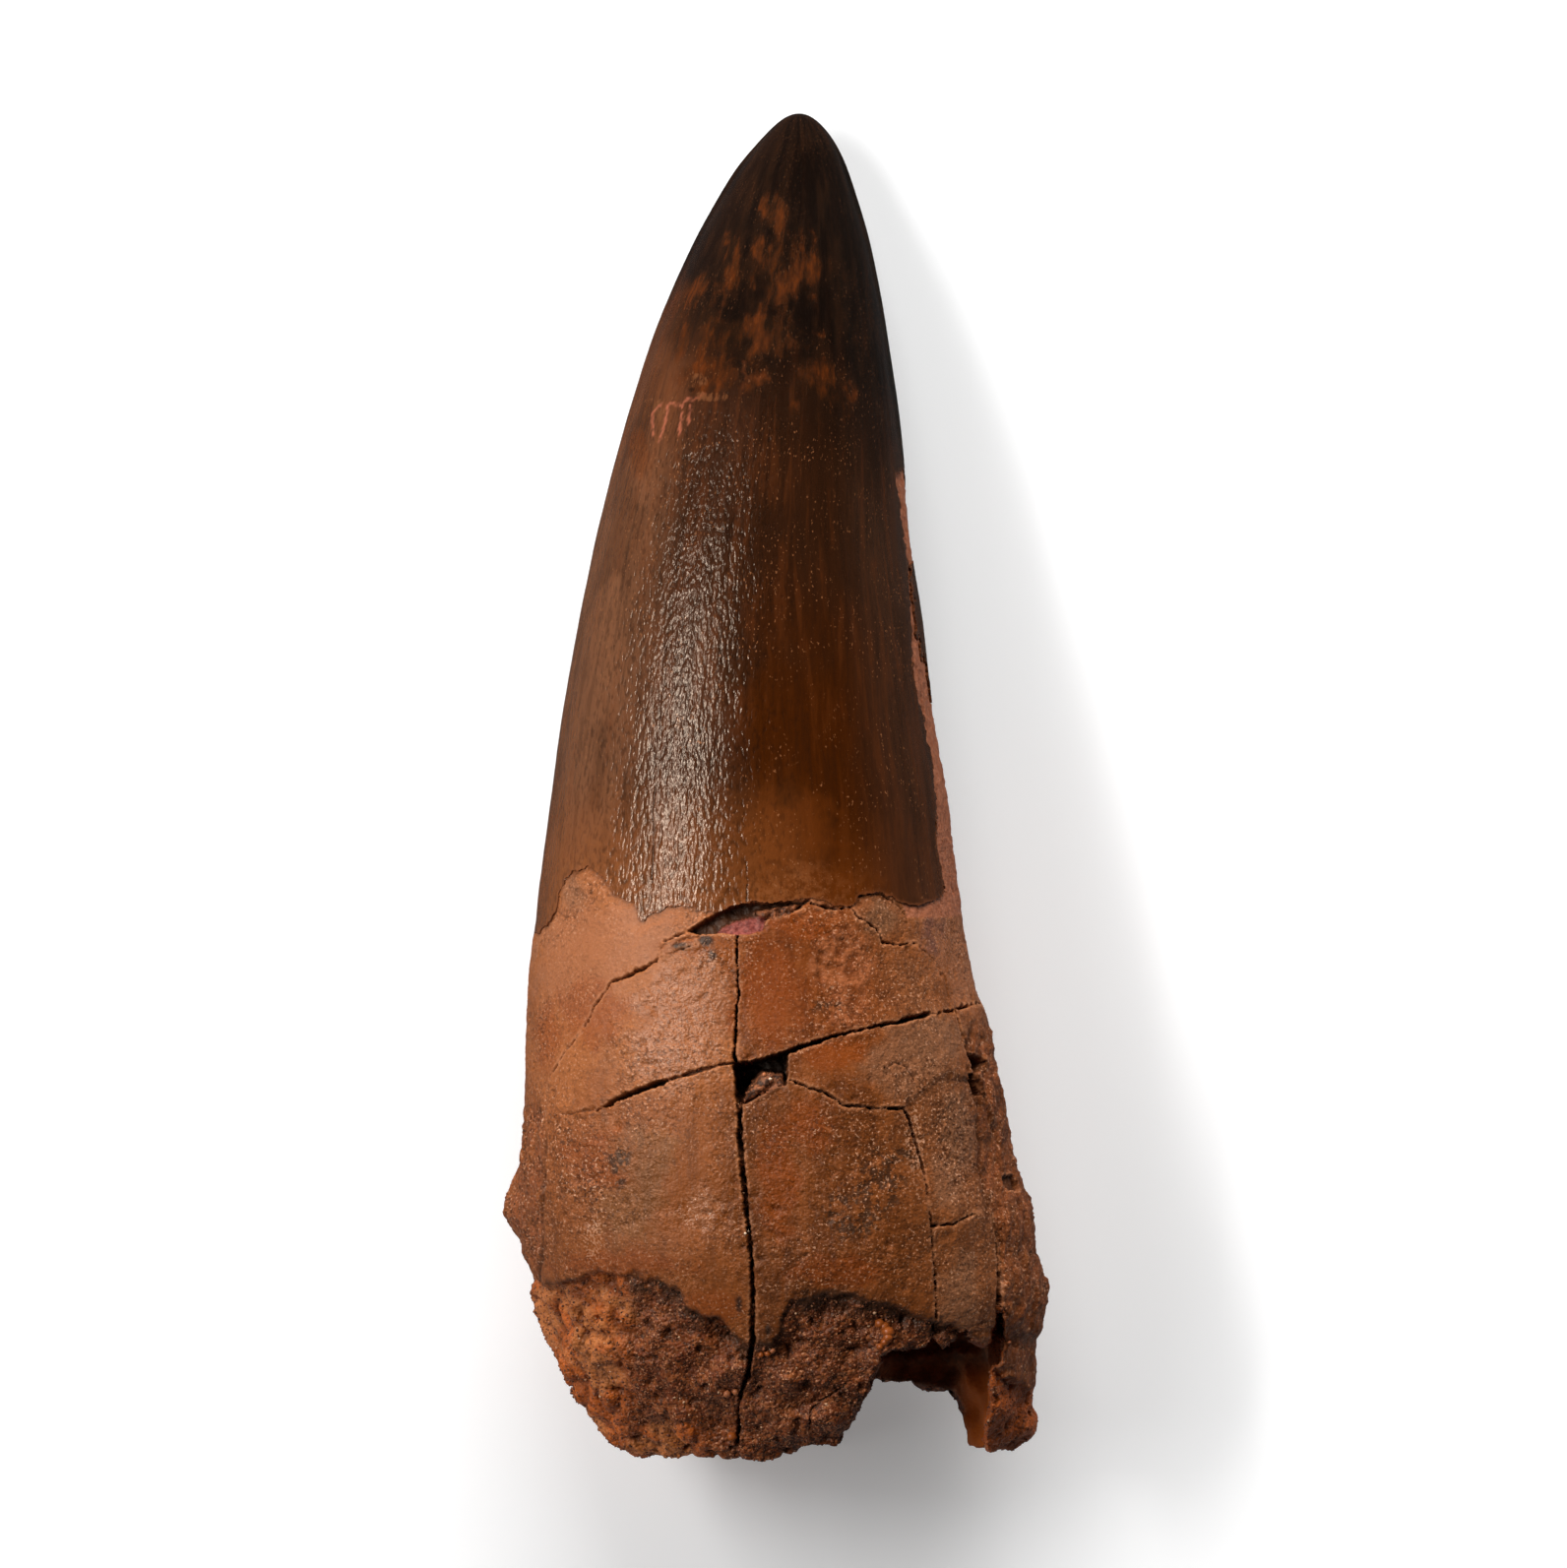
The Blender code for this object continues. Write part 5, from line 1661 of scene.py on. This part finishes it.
def crown_material():
    """Enamel: near-black brown at the tip, translucent orange-brown below, glossy and wrinkled."""
    p = Paint("enamel")
    streaks = p.noise(0.9, p.place(0.1, "grain"), 4.0)
    broad = p.noise(7.0, p.place(0.5), 2.0)
    ragged = p.noise(0.9, p.place(0.6, "grain"), 6.0, 0.62)
    clouds = p.noise(2.8, p.place(0.6, "grain"), 7.0, 0.6)
    wrinkles = p.noise(0.36, p.place(0.4, "grain"), 1.6, 0.5)
    along, across = p.mask("along"), p.mask("across")
    mottle, rust = p.mask("mottle"), p.mask("rust")

    tip = p.rise(p.add(along, p.times(broad, 0.2), p.times(across, 0.09)), 0.57, 0.8)
    dark = p.mix(p.rise(clouds, 0.42, 0.62), (13, 8, 6), (28, 16, 9))
    colour = p.over(
        enamel_ground(p, along, across),
        # Greyer brown on the right flank: the flank's own darker brown with a painted grey sheen.
        ((60, 38, 25), p.rise(across, 0.45, 0.85), 0.6),
        ((46, 24, 11), p.rise(broad, 0.48, 0.62), 0.4),
        ((98, 48, 18), p.rise(streaks, 0.5, 0.64), 0.2),
        ((30, 16, 8), p.rise(streaks, 0.5, 0.36), 0.3),
        (dark, tip, 0.93),
        ((98, 46, 12), p.mask("amber"), 0.4),
        ((132, 72, 32), p.rise(along, 0.04, -0.12), p.rise(across, 0.45, 0.05), 0.38),
        ((32, 18, 10), mottle, 0.2),
    )

    density = p.add(p.times(mottle, 0.11), p.times(rust, 0.06))
    cloudy = p.add(p.times(clouds, 0.65), p.times(ragged, 0.35))
    mottled = p.rise(p.add(cloudy, density), 0.43, 0.74)
    rusty = p.mix(p.rise(cloudy, 0.42, 0.62), (42, 24, 12), (78, 36, 11))
    near_mottle = p.rise(p.add(mottle, p.times(rust, 0.7), p.times(clouds, 1.8)), 0.95, 1.95)
    tan = p.rise(p.add(ragged, p.times(p.mask("tan"), 0.25)), 0.66, 0.8)
    black = p.rise(p.add(ragged, p.times(p.mask("black"), 0.3)), 0.66, 0.78)
    worn_and_highlight = p.times(p.mask("worn_and_highlight"), p.rise(p.noise(0.7, None, 5.0, 0.7), 0.42, 0.6), 0.6)
    specks = p.rise(p.noise(0.22, p.place(0.55, "grain"), 1.0), 0.66, 0.73)
    speck_places = p.rise(p.noise(5.0), 0.42, 0.56)
    scratched = p.mix(p.rise(across, -0.6, -0.4), (168, 94, 68), (112, 56, 26))
    wrinkled = p.mask("wrinkled")
    colour = p.over(
        colour,
        (rusty, mottled, near_mottle, 0.65),
        ((118, 54, 16), p.rise(clouds, 0.5, 0.66), p.rise(ragged, 0.46, 0.68), near_mottle, 0.3),
        ((104, 62, 36), tan, p.mask("tan"), 0.8),
        ((18, 11, 7), black, p.mask("black"), 0.6),
        # Paler near the enamel's edge: wear, and partly a painted highlight.
        ((132, 76, 40), worn_and_highlight, p.rise(across, 0.7, 0.2)),
        ((140, 88, 54), specks, speck_places, p.between(tip, 0.75, 0.2)),
        (scratched, p.mask("scratch"), 0.8),
        ((128, 72, 42), p.mask("edge"), 0.5),
        ((26, 14, 9), p.mask("line")),
        # Painted shade: the low furrows of the wrinkles are darkened.
        ((18, 10, 6), p.rise(wrinkles, 0.5, 0.34), wrinkled, 0.4),
    )

    normal = p.bump(p.times(p.less(wrinkles, 0.5), wrinkled), 0.15)
    normal = p.bump(p.noise(0.16, None, 1.0), 0.01, 1.0, normal)
    constants = {"IOR": 1.45, "Specular Tint": (1.0, 0.8, 0.63, 1.0)}
    return p.finish(colour, p.between(streaks, 0.1, 0.17), normal, constants)


def plate_colour(p, broad, medium, fine, grit):
    """The root's plates: paler and pinker at the upper left, darker to the right and below."""
    fibres = p.noise(1.1, p.place(0.16), 4.0, 0.6)
    patchy = p.rise(medium, 0.4, 0.56)
    centre = p.mix(p.rise(p.mask("along"), -0.3, -0.5), (111, 50, 10), (102, 51, 15))
    stain = p.times(p.mask("stain"), p.rise(p.add(fine, medium), 0.94, 1.08))
    colour = p.over(
        p.mix(p.rise(p.mask("across"), -0.22, -0.1), (139, 74, 29), centre),
        ((120, 69, 37), p.rise(p.mask("across"), 0.4, 0.75)),
        ((146, 78, 32), p.rise(broad, 0.45, 0.62), 0.3),
        ((152, 84, 40), p.rise(fibres, 0.48, 0.62), 0.3),
        ((78, 38, 14), p.rise(fibres, 0.5, 0.36), 0.3),
        ((164, 94, 46), p.mask("pale"), 0.8),
        ((158, 96, 60), p.mask("pink"), 0.7),
        ((158, 98, 64), p.mask("sparkle"), 0.7),
        ((136, 60, 9), p.mask("amber"), 0.55),
        ((134, 90, 62), p.mask("grey"), 0.6),
        ((120, 84, 48), p.mask("olive"), 0.35),
        ((134, 66, 18), p.mask("flake"), 0.8),
        ((166, 104, 66), p.mask("enamel_near"), patchy, 0.3),
        ((106, 54, 28), p.mask("scar"), 0.4),
        ((168, 96, 56), p.mask("crests"), 0.6),
        ((120, 78, 50), p.mask("chip"), 0.85),
        ((106, 64, 52), p.mask("mauve"), p.rise(medium, 0.35, 0.55), 0.8),
        ((50, 34, 22), stain, 0.8),
        ((40, 24, 16), p.mask("spots"), 0.95),
        ((140, 74, 38), p.mask("side"), p.rise(medium, 0.38, 0.55), 0.7),
        ((52, 28, 15), p.mask("seam"), 0.75),
    )

    loose = p.add(p.mask("crumbly"), p.mask("side"))
    grainy = p.add(p.between(p.rise(broad, 0.6, 0.42), 0.45, 1.0), p.times(loose, 0.6))
    sandy = p.times(p.less(1.0, p.times(p.mask("polished"), 0.4)), grainy)
    glint_field = p.add(grit, p.times(p.mask("glint_spots"), 0.1))
    bare = p.mix(p.rise(fine, 0.36, 0.62), (136, 76, 48), (160, 96, 66))
    # Painted shadow: a dark ragged line where the plates drop to the crust at the ledge.
    edge = p.times(p.rise(p.mask("past"), -0.8, 0.1), p.rise(medium, 0.42, 0.58), p.mask("rimmed"))
    return p.over(
        colour,
        ((76, 38, 16), p.rise(fine, 0.52, 0.64), sandy, 0.6),
        ((164, 98, 56), p.rise(fine, 0.45, 0.35), sandy, 0.35),
        ((62, 32, 16), p.rise(grit, 0.45, 0.35), sandy, 0.55),
        # Painted glints: small pale specks over the sandy plates, thicker in the glint spots.
        ((200, 146, 112), p.rise(glint_field, 0.6, 0.67), sandy, 0.75),
        ((96, 50, 26), p.mask("fibrous"), p.rise(fibres, 0.42, 0.56), 0.6),
        (bare, p.mask("bare")),
        # Pale crack rims: chipped wear, and partly a painted highlight.
        ((190, 124, 82), p.mask("lip"), patchy, 0.5),
        # Painted shadow at the ledge.
        ((44, 30, 20), edge, 0.75),
    )


def crust_colour(p, broad, medium, fine, grit):
    """Sandstone: maroon-brown grains, orange-brown lumps at the left, and the dark hollow."""
    tone = p.node("SeparateColor", {0: p.cells(0.34, "Color")}, 0)
    granular, rimmed, past = p.mask("granular"), p.mask("rimmed"), p.mask("past")
    sand = p.over(
        p.mix(p.rise(medium, 0.4, 0.6), (108, 48, 18), (134, 66, 26)),
        ((116, 62, 34), p.rise(broad, 0.46, 0.58), 0.5),
        ((94, 44, 18), p.rise(p.mask("across"), -0.14, 0.1), 0.5),
    )
    left = p.mix(p.rise(medium, 0.4, 0.58), (188, 92, 26), (150, 70, 18))
    left = p.over(left, ((190, 116, 62), p.rise(broad, 0.5, 0.6), 0.7))
    speckled = p.between(granular, 0.3, 1.0)
    # Painted shadow: a dark band on the crust just below the ledge.
    rim = p.times(p.rise(past, 2.4, 0.5), p.rise(medium, 0.38, 0.5), granular)
    colour = p.over(
        p.mix(granular, left, sand),
        ((160, 92, 48), p.rise(tone, 0.6, 0.9), speckled, 0.5),
        ((56, 29, 16), p.rise(tone, 0.45, 0.1), speckled, 0.6),
        ((44, 23, 12), p.rise(fine, 0.47, 0.37), speckled, 0.6),
        # Pale specks: pale grains, and partly painted glints.
        ((214, 150, 108), p.rise(grit, 0.6, 0.67), speckled, 0.7),
        ((150, 70, 20), p.less(1.0, rimmed), 0.75),
        # Painted shadow below the ledge.
        ((50, 33, 22), rim, rimmed, 0.8),
        # Painted shade in the crust's low places.
        ((50, 26, 14), p.mask("low"), 0.55),
    )
    cave = p.mix(p.rise(medium, 0.35, 0.65), (108, 68, 44), (156, 98, 62))
    cave = p.mix(p.mask("spur"), cave, (204, 102, 22))
    return p.mix(p.mask("hollow"), p.shade(colour, CRUST_SHADE), cave)


def root_material():
    """Varnished plates with cracks darkened by painted shade, sandy fill, and the rough crust at
    the broken end.
    """
    p = Paint("fossil_root")
    broad = p.noise(6.0)
    medium = p.noise(1.6, None, 4.0, 0.6)
    fine = p.noise(0.5, None, 3.0, 0.65)
    grit = p.noise(0.26, None, 2.0, 0.6)
    broken, hollow = p.mask("broken"), p.mask("hollow")
    debris = p.mix(p.rise(fine, 0.42, 0.58), (60, 34, 22), (146, 88, 56))
    pink = p.mix(p.rise(fine, 0.4, 0.6), (112, 52, 46), (148, 76, 66))
    colour = p.over(
        plate_colour(p, broad, medium, fine, grit),
        (crust_colour(p, broad, medium, fine, grit), broken),
        # Painted shade in the cracks, darker where they are deeper.
        ((62, 34, 18), p.mask("crack"), 0.75),
        ((28, 16, 9), p.mask("deep"), 0.85),
        (debris, p.mask("fill")),
        (pink, p.mask("pink_fill")),
    )

    sandy = p.times(p.less(1.0, p.times(p.mask("polished"), 0.7)), p.less(1.0, broken))
    relief = p.centred(p.noise(0.7, None, 2.0, 0.5), 0.13, sandy)
    pebbles = p.centred(p.noise(0.3, None, 2.0, 0.5), 0.12, p.between(sandy, 0.35, 1.0))
    grains = p.times(p.cells(0.34), -0.14, p.less(broken, hollow))
    rubble = p.centred(p.noise(0.45, None, 3.0, 0.6), 0.1, broken)
    relief = p.add(p.add(relief, pebbles), p.add(grains, rubble))
    glossy = p.add(p.times(p.mask("sparkle"), 0.22), p.times(p.mask("glint_spots"), 0.16))
    roughness = p.add(p.less(p.between(fine, 0.44, 0.58), glossy), p.times(hollow, 0.3))
    constants = {"IOR": 1.45, "Specular Tint": (1.0, 0.88, 0.76, 1.0)}
    return p.finish(colour, roughness, p.bump(relief, 1.0), constants)


def sand_material():
    """Grains from dark to pale by their tone. Tones above 1 are for the larger bits."""
    p = Paint("sand")
    tone = p.mask("tone")
    colour = p.over(
        p.mix(p.rise(tone, 0.0, 0.7), (74, 40, 23), (140, 80, 48)),
        ((156, 98, 62), p.rise(tone, 0.8, 0.95)),
        ((214, 168, 130), p.rise(tone, 0.965, 0.985)),
        ((178, 106, 66), p.rise(tone, 1.05, 1.15)),
        ((150, 76, 28), p.rise(tone, 1.3, 1.5)),
        ((230, 200, 170), p.rise(tone, 1.7, 1.9)),
    )
    colour = p.shade(colour, p.between(p.noise(0.25), 0.7, 1.3))
    normal = p.bump(p.noise(0.12), 0.02)
    return p.finish(colour, p.between(tone, 0.6, 0.35), normal, {"Specular IOR Level": 0.4})


def floor_material():
    p = Paint("floor")
    faint = p.noise(60.0)
    normal = p.bump(p.noise(2.0), 0.01, 0.1)
    return p.finish(p.between(faint, 0.86, 0.88), p.between(faint, 0.85, 0.9), normal, {
        "Emission Color": (1.0, 1.0, 1.0, 1.0), "Emission Strength": FLOOR_GLOW,
        "Specular IOR Level": 0.1,
    })


def make_floor():
    half = FLOOR_SIZE / 2 * MM
    data = bpy.data.meshes.new("floor")
    corners = [(-half, -half, 0.0), (half, -half, 0.0), (half, half, 0.0), (-half, half, 0.0)]
    data.from_pydata(corners, [], [(0, 1, 2, 3)])
    data.materials.append(floor_material())
    floor = bpy.data.objects.new("floor", data)
    floor.visible_glossy = False
    bpy.context.scene.collection.objects.link(floor)


def make_world():
    """A dark ceiling with a pale glow low down, as in a studio with pale surroundings."""
    world = bpy.data.worlds.new("studio")
    bpy.context.scene.world = world
    world.use_nodes = True
    tree = world.node_tree
    source = tree.nodes.new("ShaderNodeTexCoord")
    parts = tree.nodes.new("ShaderNodeSeparateXYZ")
    ramp = tree.nodes.new("ShaderNodeMapRange")
    ramp.interpolation_type = "SMOOTHSTEP"
    for name, value in (
        ("From Min", "starts"), ("From Max", "ends"), ("To Min", "low"), ("To Max", "high"),
    ):
        ramp.inputs[name].default_value = SKY[value]
    tree.links.new(source.outputs["Generated"], parts.inputs[0])
    tree.links.new(parts.outputs["Z"], ramp.inputs["Value"])
    tree.nodes["Background"].inputs["Color"].default_value = (1.0, 1.0, 1.0, 1.0)
    tree.links.new(ramp.outputs["Result"], tree.nodes["Background"].inputs["Strength"])


def make_lamp(name, setup):
    """A flat rectangular light, out of the camera's view."""
    width, height = (s * MM for s in setup["size"])
    data = bpy.data.lights.new(name, "AREA")
    data.shape = "RECTANGLE"
    data.size, data.size_y = width, height
    data.energy = setup["radiance"] * math.pi * width * height
    lamp = bpy.data.objects.new(name, data)
    lamp.location = Vector(setup["centre"]) * MM
    lamp.visible_camera = False
    bpy.context.scene.collection.objects.link(lamp)
    return lamp


def make_lights():
    make_lamp("softbox", SOFTBOX)
    make_lamp("strip_light", STRIP_LIGHT)
    screen = make_lamp("screen", SCREEN)
    screen.rotation_euler = (math.radians(-90), 0.0, 0.0)
    screen.visible_glossy = False


def make_camera():
    data = bpy.data.cameras.new("camera")
    data.sensor_width = SENSOR
    data.lens = SENSOR * CAMERA_DISTANCE / (PICTURE_WIDTH * max(PICTURE_SIZE) / PICTURE_SIZE[0])
    data.clip_start = 0.01
    data.clip_end = 20.0
    camera = bpy.data.objects.new("camera", data)
    x, y = PICTURE_MIDDLE
    camera.location = Vector((x, y, OUTLINE_HEIGHT + CAMERA_DISTANCE)) * MM
    bpy.context.scene.collection.objects.link(camera)
    bpy.context.scene.camera = camera


def main():
    make_camera()
    make_world()
    make_lights()
    make_floor()
    bpy.context.scene.view_settings.view_transform = "Standard"
    coarse = coarse_tooth()
    crown = make_crown(coarse, crown_material())
    upper_root, lower_root, sand = make_root(coarse, root_material(), sand_material())
    for piece in (crown, upper_root, lower_root, sand):
        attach(piece, "root")
        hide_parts("tooth")
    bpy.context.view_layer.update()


main()
